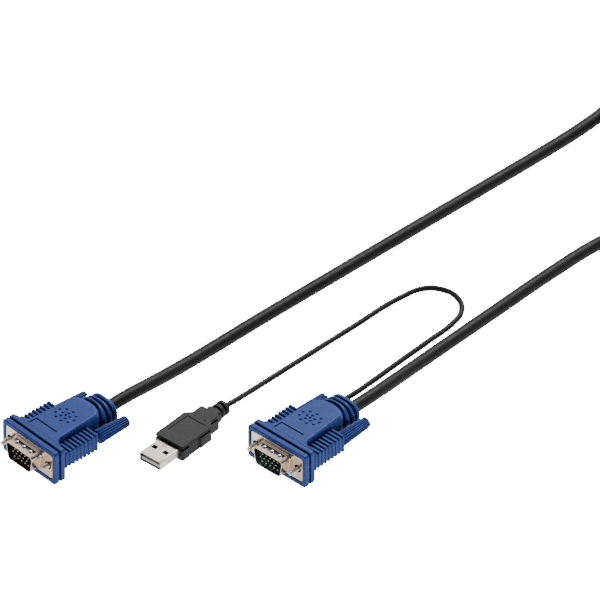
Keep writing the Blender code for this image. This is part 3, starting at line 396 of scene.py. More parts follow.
def rod(radius, sides, start, end, x, z):
    outline = circle_outline(radius, sides, (x, z))
    return along_y([(start, outline), (end, outline)])


def ball(centre, radii, around, rings):
    shape = bmesh.new()
    bmesh.ops.create_uvsphere(shape, u_segments=around, v_segments=rings, radius=1.0)
    matrix = Matrix.Translation(centre) @ Matrix.Diagonal((*radii, 1.0))
    bmesh.ops.transform(shape, matrix=matrix, verts=shape.verts)
    return mesh_of(shape, "ball")


def merged(meshes):
    shape = bmesh.new()
    for mesh in meshes:
        shape.from_mesh(mesh)
    result = bpy.data.meshes.new("merged")
    shape.to_mesh(result)
    shape.free()
    return result


def boolean(mesh, other, operation):
    body = bpy.data.objects.new("boolean_body", mesh)
    tool = bpy.data.objects.new("boolean_tool", other)
    for thing in (body, tool):
        bpy.context.scene.collection.objects.link(thing)
    modifier = body.modifiers.new("boolean", "BOOLEAN")
    modifier.operation = operation
    modifier.solver = "EXACT"
    modifier.object = tool
    graph = bpy.context.evaluated_depsgraph_get()
    result = bpy.data.meshes.new_from_object(body.evaluated_get(graph))
    for thing in (body, tool):
        bpy.data.objects.remove(thing, do_unlink=True)
    return result


def cut(mesh, cutters):
    for cutter in cutters:
        mesh = boolean(mesh, cutter, "DIFFERENCE")
    return mesh


def place_matrix(place):
    x, y, turn = place
    return Matrix.Translation((x, y, 0.0)) @ Matrix.Rotation(math.radians(turn), 4, "Z")


def keep_flats_flat(mesh):
    """Marks the outline of each large flat sharp, so that the rounds beside it don't shade it."""
    owner = list(range(len(mesh.polygons)))

    def root(index):
        while owner[index] != index:
            owner[index] = owner[owner[index]]
            index = owner[index]
        return index

    normals = [polygon.normal.copy() for polygon in mesh.polygons]
    beside = {}
    for polygon in mesh.polygons:
        for loop in polygon.loop_indices:
            beside.setdefault(mesh.loops[loop].edge_index, []).append(polygon.index)
    pairs = [(edge, faces) for edge, faces in beside.items() if len(faces) == 2]
    bends = []
    for edge, (one, other) in pairs:
        if normals[one].length and normals[other].length:
            if normals[one].angle(normals[other]) < FLAT_ANGLE:
                owner[root(one)] = root(other)
            else:
                bends.append((edge, one, other))
    areas = {}
    for polygon in mesh.polygons:
        flat = root(polygon.index)
        areas[flat] = areas.get(flat, 0.0) + polygon.area
    sharp = mesh.attributes["sharp_edge"].data
    for edge, one, other in bends:
        if max(areas[root(one)], areas[root(other)]) > LEAST_FLAT:
            sharp[edge].value = True


def add_piece(name, mesh, material, matrix, body, nodes, smooth=38.0):
    mesh = mesh.copy()
    mesh.name = name
    mesh.transform(matrix)
    mesh.materials.clear()
    mesh.materials.append(material)
    mesh.shade_smooth()
    mesh.set_sharp_from_angle(angle=math.radians(smooth))
    keep_flats_flat(mesh)
    piece = bpy.data.objects.new(name, mesh)
    bpy.context.scene.collection.objects.link(piece)
    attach(piece, body)
    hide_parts(*nodes)
    return piece


# Cords


def plug_point(place, x, y, z):
    point = place_matrix(place) @ Vector((x, y, 0.0))
    return (point.x, point.y, z)


def smooth_curve(name, points, diameter, material, bevel_steps):
    curve = bpy.data.curves.new(name, "CURVE")
    curve.dimensions = "3D"
    curve.resolution_u = 8
    curve.bevel_depth = diameter / 2
    curve.bevel_resolution = bevel_steps
    curve.use_fill_caps = True
    spline = curve.splines.new("BEZIER")
    spline.bezier_points.add(len(points) - 1)
    for knot, point in zip(spline.bezier_points, points):
        knot.co = point
        knot.handle_left_type = "AUTO"
        knot.handle_right_type = "AUTO"
    curve.materials.append(material)
    cord = bpy.data.objects.new(name, curve)
    bpy.context.scene.collection.objects.link(cord)
    return cord


COIL_CENTRE = (15.1 * mm, 332.5 * mm)
COIL_OUTER = 44.2 * mm  # radius of the outermost turn
COIL_PITCH = 6.1 * mm  # from turn to turn and from layer to layer
COIL_LOW = 4.1 * mm  # height of the lower layer: the tie passes under it
COIL_STEPS = 16  # points for each turn
COIL_DOWN, COIL_UP = 3, 2.5  # turns in the lower and the upper layer


def coil_points():
    """Three turns inwards close to the floor, then two and a half outwards on top of them."""
    points = []
    inner = COIL_OUTER - COIL_DOWN * COIL_PITCH
    for step in range(COIL_DOWN * COIL_STEPS + 1):
        turns = step / COIL_STEPS
        points.append((turns, COIL_OUTER - COIL_PITCH * turns, COIL_LOW))
    climb = COIL_STEPS / 6
    for step in range(1, int(COIL_UP * COIL_STEPS) + 1):
        turns = step / COIL_STEPS
        share = min(1.0, step / climb)
        rise = COIL_PITCH * share * share * (3 - 2 * share)
        points.append((turns, inner + COIL_PITCH * turns, COIL_LOW + rise))
    laid = []
    for turns, radius, z in points:
        turn = math.pi - 2 * math.pi * turns
        x = COIL_CENTRE[0] + radius * math.cos(turn)
        y = COIL_CENTRE[1] + radius * math.sin(turn)
        laid.append((x, y, z))
    return laid


def main_cable_points():
    rest = CABLE / 2 + REST_GAP
    from_a = [
        plug_point(PLUG_A, 0.0, HOOD_END + GAP, AXIS),
        (-36.6 * mm, 3.1 * mm, 8.5 * mm),
        (-36.4 * mm, 17.1 * mm, 7.0 * mm),
        (-36.7 * mm, 37.6 * mm, 4.6 * mm),
        (-36.7 * mm, 57.2 * mm, 3.3 * mm),
        (-35.8 * mm, 81.9 * mm, rest),
        (-33.1 * mm, 127.7 * mm, rest),
        (-30.2 * mm, 173.5 * mm, rest),
        (-27.3 * mm, 219.3 * mm, rest),
        (-24.5 * mm, 265.1 * mm, rest),
        (-23.7 * mm, 284.1 * mm, 3.2 * mm),
        (-23.9 * mm, 301.4 * mm, 3.8 * mm),
        (-26.6 * mm, 317.0 * mm, 4.0 * mm),
    ]
    to_b = [
        (55.6 * mm, 317.0 * mm, 10.1 * mm),
        (53.8 * mm, 300.9 * mm, 9.6 * mm),
        (51.6 * mm, 283.1 * mm, 7.6 * mm),
        (47.1 * mm, 264.1 * mm, 4.6 * mm),
        (42.1 * mm, 248.1 * mm, 3.3 * mm),
        (38.2 * mm, 232.0 * mm, rest),
        (36.6 * mm, 199.6 * mm, rest),
        (36.8 * mm, 166.8 * mm, rest),
        (37.4 * mm, 133.5 * mm, 3.4 * mm),
        (38.4 * mm, 116.2 * mm, 4.4 * mm),
        (40.1 * mm, 98.0 * mm, 6.2 * mm),
        (41.9 * mm, 76.5 * mm, 8.2 * mm),
        plug_point(PLUG_B, 1.2 * mm, HOOD_END + GAP, AXIS),
    ]
    return from_a + coil_points() + to_b


def usb_cord_points():
    rest = CORD / 2 + REST_GAP
    return [
        plug_point(PLUG_B, -5.7 * mm, HOOD_END + GAP, AXIS),
        (35.4 * mm, 71.1 * mm, 8.4 * mm),
        (34.0 * mm, 85.1 * mm, 6.8 * mm),
        (30.5 * mm, 108.4 * mm, 3.4 * mm),
        (28.5 * mm, 130.1 * mm, 1.6 * mm),
        (27.7 * mm, 144.0 * mm, rest),
        (24.4 * mm, 154.1 * mm, rest),
        (16.0 * mm, 159.9 * mm, rest),
        (7.3 * mm, 159.2 * mm, rest),
        (1.2 * mm, 154.1 * mm, rest),
        (-1.6 * mm, 144.1 * mm, rest),
        (-3.1 * mm, 111.8 * mm, rest),
        (-4.2 * mm, 80.4 * mm, rest),
        (-4.8 * mm, 51.1 * mm, 1.7 * mm),
        (-3.9 * mm, 40.1 * mm, 3.2 * mm),
        plug_point(USB, 0.0, USB_END + GAP, USB_AXIS),
    ]


def tie_mesh():
    """A hook and loop band round the coil: a strap whose end laps over its start."""
    half = 3.0 * mm
    inner_radius, outer_radius = 22.9 * mm, 47.2 * mm
    outer_side = outer_radius + GAP
    inner_side = math.sqrt(inner_radius**2 - half**2) - GAP
    low, high = 1.1 * mm - GAP, 13.2 * mm + GAP
    middle = ((outer_side + inner_side) / 2, (low + high) / 2)
    inside = box_outline(outer_side - inner_side, high - low, 2.6 * mm, 8, middle)
    thick = 0.75 * mm
    outside = box_outline(
        outer_side - inner_side + 2 * thick, high - low + 2 * thick, 2.6 * mm + thick, 8, middle
    )
    rings = []
    for (x0, z0), (x1, z1) in zip(inside, outside):
        slim = 0.2 * mm
        toward = Vector((x1 - x0, z1 - z0)).normalized() * slim
        rings.append(
            [
                (x0, -half + slim, z0),
                (x0, half - slim, z0),
                (x0 + toward.x, half, z0 + toward.y),
                (x1 - toward.x, half, z1 - toward.y),
                (x1, half - slim, z1),
                (x1, -half + slim, z1),
                (x1 - toward.x, -half, z1 - toward.y),
                (x0 + toward.x, -half, z0 + toward.y),
            ]
        )
    band = loft(rings, closed=True)
    start = middle[0] - 5.5 * mm
    end = middle[0] + 5.0 * mm
    top = high + thick
    lap = []
    for x, rise, wide in (
        (start, 0.1, 0.2),
        (start + 0.3 * mm, 0.75, 0.0),
        (end - 1.6 * mm, 0.8, 0.0),
        (end - 0.5 * mm, 1.2, 0.3),
        (end, 1.3, 0.9),
    ):
        side = half - wide * mm
        upper = top + rise * mm
        lower = max(top - 0.1 * mm, upper - 0.7 * mm)
        lap.append(
            [
                (x, -side, lower),
                (x, side, lower),
                (x, side, upper - 0.12 * mm),
                (x, side - 0.2 * mm, upper),
                (x, -side + 0.2 * mm, upper),
                (x, -side, upper - 0.12 * mm),
            ]
        )
    return merged([band, loft(lap)])


def add_cords(materials):
    black = materials["cable_black"]
    tie_place = (COIL_CENTRE[0], COIL_CENTRE[1], 60.0)
    tie = add_piece(
        "coil_tie_strap",
        tie_mesh(),
        materials["tie_black"],
        place_matrix(tie_place),
        "cable",
        ["coil_tie"],
    )
    points = main_cable_points()
    cable = smooth_curve("main_cable", points, CABLE, black, 6)
    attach(cable, "cable")
    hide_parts("cable_from_a", "cable_coil", "cable_from_b")
    points = usb_cord_points()
    cord = smooth_curve("thin_cord", points, CORD, black, 4)
    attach(cord, "cable")
    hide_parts("usb_cord")


# Video plug: hood

# Half widths and half heights of the front rim and of the centre body's two ends
RIM_HALF = (17.4 * mm, 8.75 * mm)
BODY_HALF = (9.45 * mm, 8.5 * mm)
REAR_HALF = (8.55 * mm, 8.5 * mm)
BODY_END = 36.85 * mm
# Rings: length along the middle, half width, half height, bow of the groove in front
RINGS = (
    (1.5 * mm, 8.8 * mm, 8.0 * mm, 3.2 * mm),
    (1.7 * mm, 8.5 * mm, 7.5 * mm, 1.3 * mm),
    (2.55 * mm, 8.2 * mm, 7.0 * mm, 0.4 * mm),
)
RING_GROOVE = 1.1 * mm  # length of the groove in front of each ring
# Ribs of the side blocks: start and end of the ribbed stretch, how many, how high
RIBS = (6.3 * mm, 26.3 * mm, 9, 0.75 * mm)


def round_section(y, half_width, half_height, corner, inset=0.0, bow=0.0):
    """The hood's outline at one place; a bow sets its sides further forward than its middle."""
    radius = max(0.15 * mm, corner - inset)
    outline = box_outline(
        2 * (half_width - inset), 2 * (half_height - inset), radius, 7, (0.0, AXIS)
    )
    quarter = len(outline) // 4
    points = []
    for index, (x, z) in enumerate(outline):
        points.append((x, z))
        if index in (quarter - 1, 3 * quarter - 1):
            next_x = outline[index + 1][0]
            points += [(x + (next_x - x) * step / 12, z) for step in range(1, 12)]
    return [(x, y - bow * (x / BODY_HALF[0]) ** 2, z) for x, z in points]


def band_sections(start, end, half_width, half_height, corner, fillets, bows=(0.0, 0.0)):
    """A band whose two edges are quarter rounds."""
    sections = []
    steps = 4
    for edge, direction, fillet, bow, order in (
        (start, 1, fillets[0], bows[0], range(steps + 1)),
        (end, -1, fillets[1], bows[1], range(steps, -1, -1)),
    ):
        for step in order:
            turn = 0.5 * math.pi * step / steps
            y = edge + direction * fillet * (1 - math.cos(turn))
            inset = fillet * (1 - math.sin(turn))
            sections.append(round_section(y, half_width, half_height, corner, inset, bow))
    return sections


def hood_core():
    groove = (RIM_HALF[0] - 1.2 * mm, RIM_HALF[1] - 1.2 * mm)
    sections = band_sections(0.0, 2.7 * mm, *RIM_HALF, 1.5 * mm, (0.45 * mm, 0.4 * mm))
    sections.append(round_section(2.65 * mm, *groove, 0.6 * mm))
    sections.append(round_section(3.75 * mm, *groove, 0.6 * mm))
    sections += band_sections(3.7 * mm, 6.3 * mm, *RIM_HALF, 1.5 * mm, (0.4 * mm, 0.5 * mm))
    wide = RIM_HALF[0] - 0.5 * mm
    steps = 8
    for step in range(steps + 1):
        turn = 0.5 * math.pi * step / steps
        y = 6.4 * mm + 4.2 * mm * (1 - math.cos(turn))
        half_width = wide - (wide - BODY_HALF[0]) * math.sin(turn)
        sections.append(round_section(y, half_width, BODY_HALF[1], 0.9 * mm))
    bow = RINGS[0][3]
    depth = 2.4 * mm
    shoulder = BODY_END - depth
    sections.append(round_section(shoulder, *REAR_HALF, 1.1 * mm, 0.0, bow))
    steps = 6
    for step in range(1, steps + 1):
        turn = 0.5 * math.pi * step / steps
        y = shoulder + depth * math.sin(turn)
        inset = 1.0 * mm * (1 - math.cos(turn))
        corner = (1.1 + 1.8 * step / steps) * mm
        half = (REAR_HALF[0] - inset, REAR_HALF[1] - inset)
        sections.append(round_section(y, *half, corner, 0.0, bow))
    y = BODY_END
    for index, (length, half_width, half_height, bow) in enumerate(RINGS):
        low = (half_width - 1.4 * mm, half_height - 1.4 * mm)
        last = index == len(RINGS) - 1
        next_bow = 0.0 if last else RINGS[index + 1][3]
        sections.append(round_section(y, *low, low[1] * 0.8, 0.0, bow))
        y += RING_GROOVE
        sections.append(round_section(y, *low, low[1] * 0.8, 0.0, bow))
        fillets = (0.7 * mm, 1.5 * mm if last else 0.7 * mm)
        corner = half_height * 0.82
        size = (half_width, half_height, corner)
        sections += band_sections(y, y + length, *size, fillets, (bow, next_bow))
        y += length
    return loft(sections)


def block_section(y, grown):
    """The ribbed block's outline; its grooves are shallower at the sides than on top."""
    width = 2 * (15.795 * mm + max(grown, 0.4 * mm))
    height = 7.6 * mm + 2 * grown
    return (y, box_outline(width, height, 0.5 * mm + 0.5 * grown, 5, (0.0, AXIS + 0.9 * mm)))


def blocks_mesh():
    """Both side blocks as one bar; the ribs' edges are rounded in three steps."""
    start, end, count, rise = RIBS
    pitch = (end - start) / count
    edge = ((0.06 * mm, 0.28 * mm), (0.14 * mm, 0.09 * mm), (0.32 * mm, 0.0))
    sections = [block_section(start - 1.3 * mm, 0.0)]
    for index in range(count):
        low = start + pitch * (index + 0.42)
        high = start + pitch * (index + 1)
        sections.append(block_section(low, 0.0))
        sections += [block_section(low + reach, rise - fall) for reach, fall in edge]
        sections += [block_section(high - reach, rise - fall) for reach, fall in edge[::-1]]
        if index < count - 1:
            sections.append(block_section(high, 0.0))
    return along_y(sections)


def engraved_line(points, width, top, depth):
    """A groove with round ends and corners along a line of points on a level face."""
    cutters = []
    for start, end in zip(points, points[1:]):
        a, b = Vector(start), Vector(end)
        along = (b - a).normalized()
        across = Vector((-along.y, along.x))
        outline = []
        for centre, first in ((b, -math.pi / 2), (a, math.pi / 2)):
            for step in range(7):
                turn = first + math.pi * step / 6
                reach = along * math.cos(turn) + across * math.sin(turn)
                point = centre + reach * width / 2
                outline.append((point.x, point.y))
        cutters.append(along_z([(top - depth, outline), (top + 1.0 * mm, outline)]))
    return cutters


def dot_places():
    """A plain pattern of raised dots on two rings round one small hole."""
    places = []
    for count, reach_x, reach_y, shift in ((5, 2.3, 1.9, 0.3), (9, 5.3, 4.0, 0.1)):
        for index in range(count):
            turn = 2 * math.pi * (index + shift) / count
            places.append((reach_x * mm * math.cos(turn), reach_y * mm * math.sin(turn)))
    return places


def hood_mesh():
    mesh = boolean(hood_core(), blocks_mesh(), "UNION")
    # The flange's seat and the pocket behind it, then the bores of shank, clip and knob
    seat = box_outline(31.41 * mm, 13.15 * mm, 1.3 * mm, 6, (0.0, AXIS))
    pocket = box_outline(18.2 * mm, 11.0 * mm, 1.0 * mm, 3, (0.0, AXIS))
    cutters = [
        along_y([(-1.0 * mm, seat), (1.4 * mm, seat)]),
        along_y([(1.1 * mm, pocket), (8.6 * mm, pocket)]),
    ]
    for x in (-SCREW_X, SCREW_X):
        cutters += [
            rod(1.75 * mm, 32, 0.0, 27.3 * mm, x, AXIS),
            rod(2.4 * mm, 32, 12.0 * mm, 16.2 * mm, x, AXIS),
            rod(3.9 * mm, 64, 26.3 * mm, 47.0 * mm, x, AXIS),
        ]
    mesh = cut(mesh, cutters)
    top = AXIS + BODY_HALF[1]
    # The L-shaped groove, and the small hole that the dots stand round
    line = [(-7.7 * mm, 7.2 * mm), (-7.5 * mm, 11.4 * mm), (5.3 * mm, 11.6 * mm)]
    grooves = engraved_line(line, 0.72 * mm, top, 0.6 * mm)
    centre = (-0.6 * mm, 22.4 * mm)
    hole = circle_outline(0.6 * mm, 24, centre)
    grooves.append(along_z([(top - 0.7 * mm, hole), (top + 1.0 * mm, hole)]))
    mesh = cut(mesh, grooves)
    dots = []
    for x, y in dot_places():
        place = (centre[0] + x, centre[1] + y, top - 0.1 * mm)
        dots.append(ball(place, (0.75 * mm, 0.75 * mm, 0.62 * mm), 18, 10))
    return merged([mesh] + dots)


# Video plug: front shell, insulator, contacts


def front_shell_mesh():
    front, back = 0.3 * mm, 1.1 * mm

    def flange(y, inset):
        width, height = FLANGE[0] - 2 * inset, FLANGE[1] - 2 * inset
        return (y, box_outline(width, height, 1.0 * mm - inset, 6, (0.0, AXIS)))

    plate = along_y(
        [
            flange(front, 0.2 * mm),
            flange(front + 0.06 * mm, 0.06 * mm),
            flange(front + 0.2 * mm, 0.0),
            flange(back, 0.0),
        ]
    )
    wall = 0.4 * mm
    mouth = front - 6.0 * mm
    # The skirt's rounded mouth and the flare at its foot: place and growth of the wall in mm
    mouth_rows = ((0.0, -0.14), (0.04, -0.04), (0.14, 0.0))
    foot_rows = (
        (-1.35, 0.0),
        (-1.2, 0.05),
        (-1.05, 0.2),
        (-0.95, 0.42),
        (-0.75, 0.62),
        (-0.5, 0.7),
        (-0.2, 0.72),
        (-0.05, 0.85),
        (0.02, 1.0),
        (0.4, 1.0),
    )
    skirt = [(mouth + y * mm, skirt_outline(wall + grown * mm)) for y, grown in mouth_rows]
    skirt += [(front + y * mm, skirt_outline(wall + grown * mm)) for y, grown in foot_rows]
    mesh = boolean(plate, along_y(skirt), "UNION")
    inside = along_y(
        [
            (mouth - 1.0 * mm, skirt_outline(0.1 * mm)),
            (mouth, skirt_outline(0.1 * mm)),
            (mouth + 0.1 * mm, skirt_outline(0.0)),
            (back + 1.0 * mm, skirt_outline(0.0)),
        ]
    )
    holes = [rod(1.95 * mm, 40, -1.0 * mm, back + 1.0 * mm, x, AXIS) for x in (-SCREW_X, SCREW_X)]
    mesh = cut(mesh, [inside] + holes)
    top = AXIS + SKIRT[1] / 2 + wall
    low = AXIS - SKIRT[1] / 2 - wall
    # Grounding dimples: three on top, two flatter ones on the underside
    dimples = []
    for index in range(3):
        x = (index - 1) * 4.5 * mm
        place = (x, front - 3.0 * mm, top - 0.02 * mm)
        dimples.append(ball(place, (1.15 * mm, 1.15 * mm, 0.75 * mm), 32, 16))
        if index != 1:
            place = (x * 0.8, front - 3.0 * mm, low + 0.02 * mm)
            dimples.append(ball(place, (0.9 * mm, 0.9 * mm, 0.33 * mm), 24, 12))
    return merged([mesh] + dimples)


def pin_places():
    places = []
    for row in range(3):
        shift = (-PIN_PITCH if row % 2 else PIN_PITCH) / 4
        for column in range(5):
            places.append(((column - 2) * PIN_PITCH + shift, AXIS + (1 - row) * ROW_PITCH))
    return places


def insulator_mesh():
    face = -0.1 * mm
    nose = along_y(
        [
            (face, skirt_outline(-0.5 * mm)),
            (face + 0.15 * mm, skirt_outline(-0.3 * mm)),
            (3.0 * mm, skirt_outline(-0.3 * mm)),
        ]
    )
    back = box_outline(17.6 * mm, 10.4 * mm, 1.0 * mm, 4, (0.0, AXIS))
    mesh = boolean(nose, along_y([(1.4 * mm, back), (6.0 * mm, back)]), "UNION")
    profile = (
        (face - 1.0 * mm, 0.85 * mm),
        (face, 0.85 * mm),
        (face + 0.3 * mm, 0.6 * mm),
        (7.0 * mm, 0.6 * mm),
    )
    holes = [
        along_y([(y, circle_outline(radius, 20, place)) for y, radius in profile])
        for place in pin_places()
    ]
    return cut(mesh, [merged(holes)])


def pins_mesh():
    radius = 0.38 * mm
    tip = 0.3 * mm - 5.2 * mm
    pins = []
    for place in pin_places():
        sections = []
        for step in range(1, 6):
            turn = 0.5 * math.pi * step / 5
            y = tip + 0.55 * mm * (1 - math.cos(turn))
            sections.append((y, circle_outline(radius * math.sin(turn), 16, place)))
        sections.append((7.6 * mm, circle_outline(radius, 16, place)))
        pins.append(along_y(sections))
    return merged(pins)


# Video plug: thumbscrews, in a frame whose Y axis is the screw's axis


def screw_mesh():
    """Plain nose, a stretch of 4-40 thread, a slimmer neck through the flange, a clip groove."""
    sides = 28
    pitch = 0.635 * mm
    rings = []
    for y, reach in ((-5.0, 0.6), (-4.97, 0.72), (-4.85, 0.88), (-4.6, 1.0), (-3.55, 1.0)):
        rings.append([(x, y * mm, z) for x, z in circle_outline(reach * mm, sides)])
    start, stop = -3.5 * mm, -1.2 * mm
    rows = 36
    for row in range(rows + 1):
        y = start + (stop - start) * row / rows
        ends = min(1.0, (y - start) / (0.4 * mm), (stop - y) / (0.4 * mm))
        crest = 1.02 * mm + 0.36 * mm * ends
        ring = []
        for index in range(sides):
            turn = 2 * math.pi * index / sides
            phase = ((y - start) / pitch - index / sides) % 1.0
            tooth = max(0.0, min(1.0, 1.25 * abs(2 * phase - 1) - 0.1))
            reach = max(1.0 * mm, crest - 0.34 * mm * tooth)
            ring.append((reach * math.cos(turn), y, reach * math.sin(turn)))
        rings.append(ring)
    for y, reach in (
        (-1.15, 1.05),
        (5.9, 1.05),
        (6.0, 1.4),
        (11.9, 1.4),
        (12.0, 1.3),
        (12.0, 0.9),
        (13.2, 0.9),
        (13.2, 1.3),
        (13.3, 1.4),
        (39.6, 1.4),
    ):
        rings.append([(x, y * mm, z) for x, z in circle_outline(reach * mm, sides)])
    return loft(rings)


def fluted_outline(radius, depth):
    points = []
    flutes, count = 18, 144
    for index in range(count):
        turn = 2 * math.pi * index / count
        wave = 0.5 + 0.5 * math.cos(flutes * turn)
        reach = radius - depth * wave**2.4
        points.append((reach * math.cos(turn), reach * math.sin(turn)))
    return points


def knob_mesh(slot_turn):
    start = 26.6 * mm
    end = start + 18.4 * mm
    front, rear = 3.4 * mm, 2.7 * mm
    depth = 0.42 * mm
    collar = front - 0.9 * mm
    bore = 1.7 * mm
    # From the bottom of the bore forward, over the collar and back along the flutes
    sections = [
        (start + 13.3 * mm, fluted_outline(bore, 0.0)),
        (start, fluted_outline(bore, 0.0)),
        (start, fluted_outline(collar - 0.15 * mm, 0.0)),
        (start + 0.15 * mm, fluted_outline(collar, 0.0)),
        (start + 0.85 * mm, fluted_outline(collar, 0.0)),
        (start + 0.88 * mm, fluted_outline(front - 0.4 * mm, depth)),
        (start + 0.98 * mm, fluted_outline(front - 0.12 * mm, depth)),
        (start + 1.2 * mm, fluted_outline(front, depth)),
    ]
    fluted = end - 1.1 * mm
    sections.append((fluted, fluted_outline(rear, depth)))
    for step in range(1, 6):
        turn = 0.5 * math.pi * step / 5
        y = fluted + 1.1 * mm * math.sin(turn)
        radius = rear - 0.9 * mm * (1 - math.cos(turn))
        sections.append((y, fluted_outline(radius, depth * 1.1)))
    sections.append((end - 0.02 * mm, fluted_outline(1.2 * mm, 0.0)))
    turn = math.radians(slot_turn)
    slot = [
        (x * math.cos(turn) - z * math.sin(turn), x * math.sin(turn) + z * math.cos(turn))
        for x, z in square_outline(3.4 * mm, -0.5 * mm, 0.5 * mm)
    ]
    cutter = along_y([(end - 1.6 * mm, slot), (end + 1.0 * mm, slot)])
    return cut(along_y(sections), [cutter])


def add_video_plug(prefix, place, insulator, materials, drawn_back, slot_turns):
    matrix = place_matrix(place)
    pins = [f"pin_{index:02d}" for index in range(1, 16)]
    rows = (
        ("hood_moulding", hood_mesh(), "hood_blue", ["hood"]),
        ("front_stamping", front_shell_mesh(), "nickel", ["front_shell"]),
        ("insulator_block", insulator_mesh(), insulator, ["insulator"]),
        ("contacts", pins_mesh(), "gold", pins),
    )
    for name, mesh, slot, covered in rows:
        nodes = [f"{prefix}_{node}" for node in covered]
        add_piece(f"{prefix}_{name}", mesh, materials[slot], matrix, "cable", nodes)
    blue, polished = materials["hood_blue"], materials["polished_steel"]
    screw = screw_mesh()
    for side, x, slot_turn in (
        ("left", -SCREW_X, slot_turns[0]),
        ("right", SCREW_X, slot_turns[1]),
    ):
        knob = knob_mesh(slot_turn)
        name = f"{prefix}_{side}"
        back = drawn_back if side == "right" else 0.0
        lifted = matrix @ Matrix.Translation((x, back, AXIS))
        body = name + "_thumbscrew"
        nodes = [name + "_screw"]
        add_piece(name + "_shank", screw, polished, lifted, body, nodes, smooth=50.0)
        nodes = [name + "_knob"]
        add_piece(name + "_grip", knob, blue, lifted, body, nodes, smooth=45.0)


# USB plug

USB_SHELL = (12.0 * mm, 4.5 * mm)
USB_WALL = 0.3 * mm
USB_TONGUE_TOP = 4.25 * mm
USB_CONTACTS = ((-3.5, 8.4), (-1.0, 7.4), (1.0, 7.4), (3.5, 8.4))  # place across, length in mm


def usb_shell_mesh():
    centre = (0.0, USB_AXIS)
    sections = []
    for y, inset in ((0.0, 0.1), (0.04, 0.03), (0.12, 0.0), (18.5, 0.0)):
        width, height = USB_SHELL[0] - 2 * inset * mm, USB_SHELL[1] - 2 * inset * mm
        sections.append((y * mm, box_outline(width, height, (0.5 - inset) * mm, 5, centre)))
    inner = []
    for y, grown in ((-1.0, 0.08), (0.0, 0.08), (0.12, 0.0), (20.0, 0.0)):
        wall = 2 * (USB_WALL - grown * mm)
        size = (USB_SHELL[0] - wall, USB_SHELL[1] - wall)
        inner.append((y * mm, box_outline(*size, 0.3 * mm, 5, centre)))
    # Besides the inside: two windows on each broad side, the seam below and a line on top
    cutters = [along_y(inner)]
    for side in (-1, 1):
        middle = (side * 3.15 * mm, 6.95 * mm)
        window = box_outline(2.6 * mm, 2.2 * mm, 0.2 * mm, 4, middle)
        cutters.append(along_z([(-1.0 * mm, window), (9.0 * mm, window)]))
    seam = square_outline(0.06 * mm, -1.0 * mm, 19.0 * mm)
    cutters.append(along_z([(-1.0 * mm, seam), (2.2 * mm, seam)]))
    mark = box_outline(3.2 * mm, 0.34 * mm, 0.15 * mm, 2, (0.0, 9.9 * mm))
    cutters.append(along_z([(6.1 * mm, mark), (7.5 * mm, mark)]))
    return cut(along_y(sections), cutters)


def usb_tongue_mesh():
    width, low, high = 10.8 * mm, 2.35 * mm, USB_TONGUE_TOP
    sections = []
    for y, inset in ((0.5, 0.25), (0.62, 0.08), (0.8, 0.0), (18.2, 0.0)):
        outline = box_outline(
            width - 2 * inset * mm, high - low - 2 * inset * mm, 0.2 * mm, 3, (0.0, 3.3 * mm)
        )
        sections.append((y * mm, outline))
    slots = []
    for x, length in USB_CONTACTS:
        size = (1.3 * mm, (length + 0.6) * mm)
        centre = (x * mm, (1.3 + (length + 0.6) / 2) * mm)
        outline = box_outline(*size, 0.1 * mm, 2, centre)
        slots.append(along_z([(high - 0.5 * mm, outline), (high + 1.0 * mm, outline)]))
    return cut(along_y(sections), slots)


def usb_contacts_mesh():
    made = []
    for x, length in USB_CONTACTS:
        centre = (x * mm, (1.6 + length / 2) * mm)
        sections = []
        for z, inset in ((-0.3, 0.0), (-0.1, 0.0), (-0.03, 0.03), (0.0, 0.1)):
            size = ((1.0 - 2 * inset) * mm, (length - 2 * inset) * mm)
            outline = box_outline(*size, 0.1 * mm, 3, centre)
            sections.append((USB_TONGUE_TOP + z * mm, outline))
        made.append(along_z(sections))
    return merged(made)


def usb_outline(slim):
    """The grip from above: wide front, sloping shoulders, slim tail."""
    wide, narrow = 8.1 * mm - slim, 5.4 * mm - slim
    front, shoulder, tail, back = 12.5 * mm + slim, 32.1 * mm, 34.7 * mm, 40.9 * mm - slim
    right = [(wide, front), (wide, shoulder), (narrow, tail), (narrow, back)]
    left = [(-x, y) for x, y in reversed(right)]
    return rounded_outline(right + left, 1.0 * mm, 6)


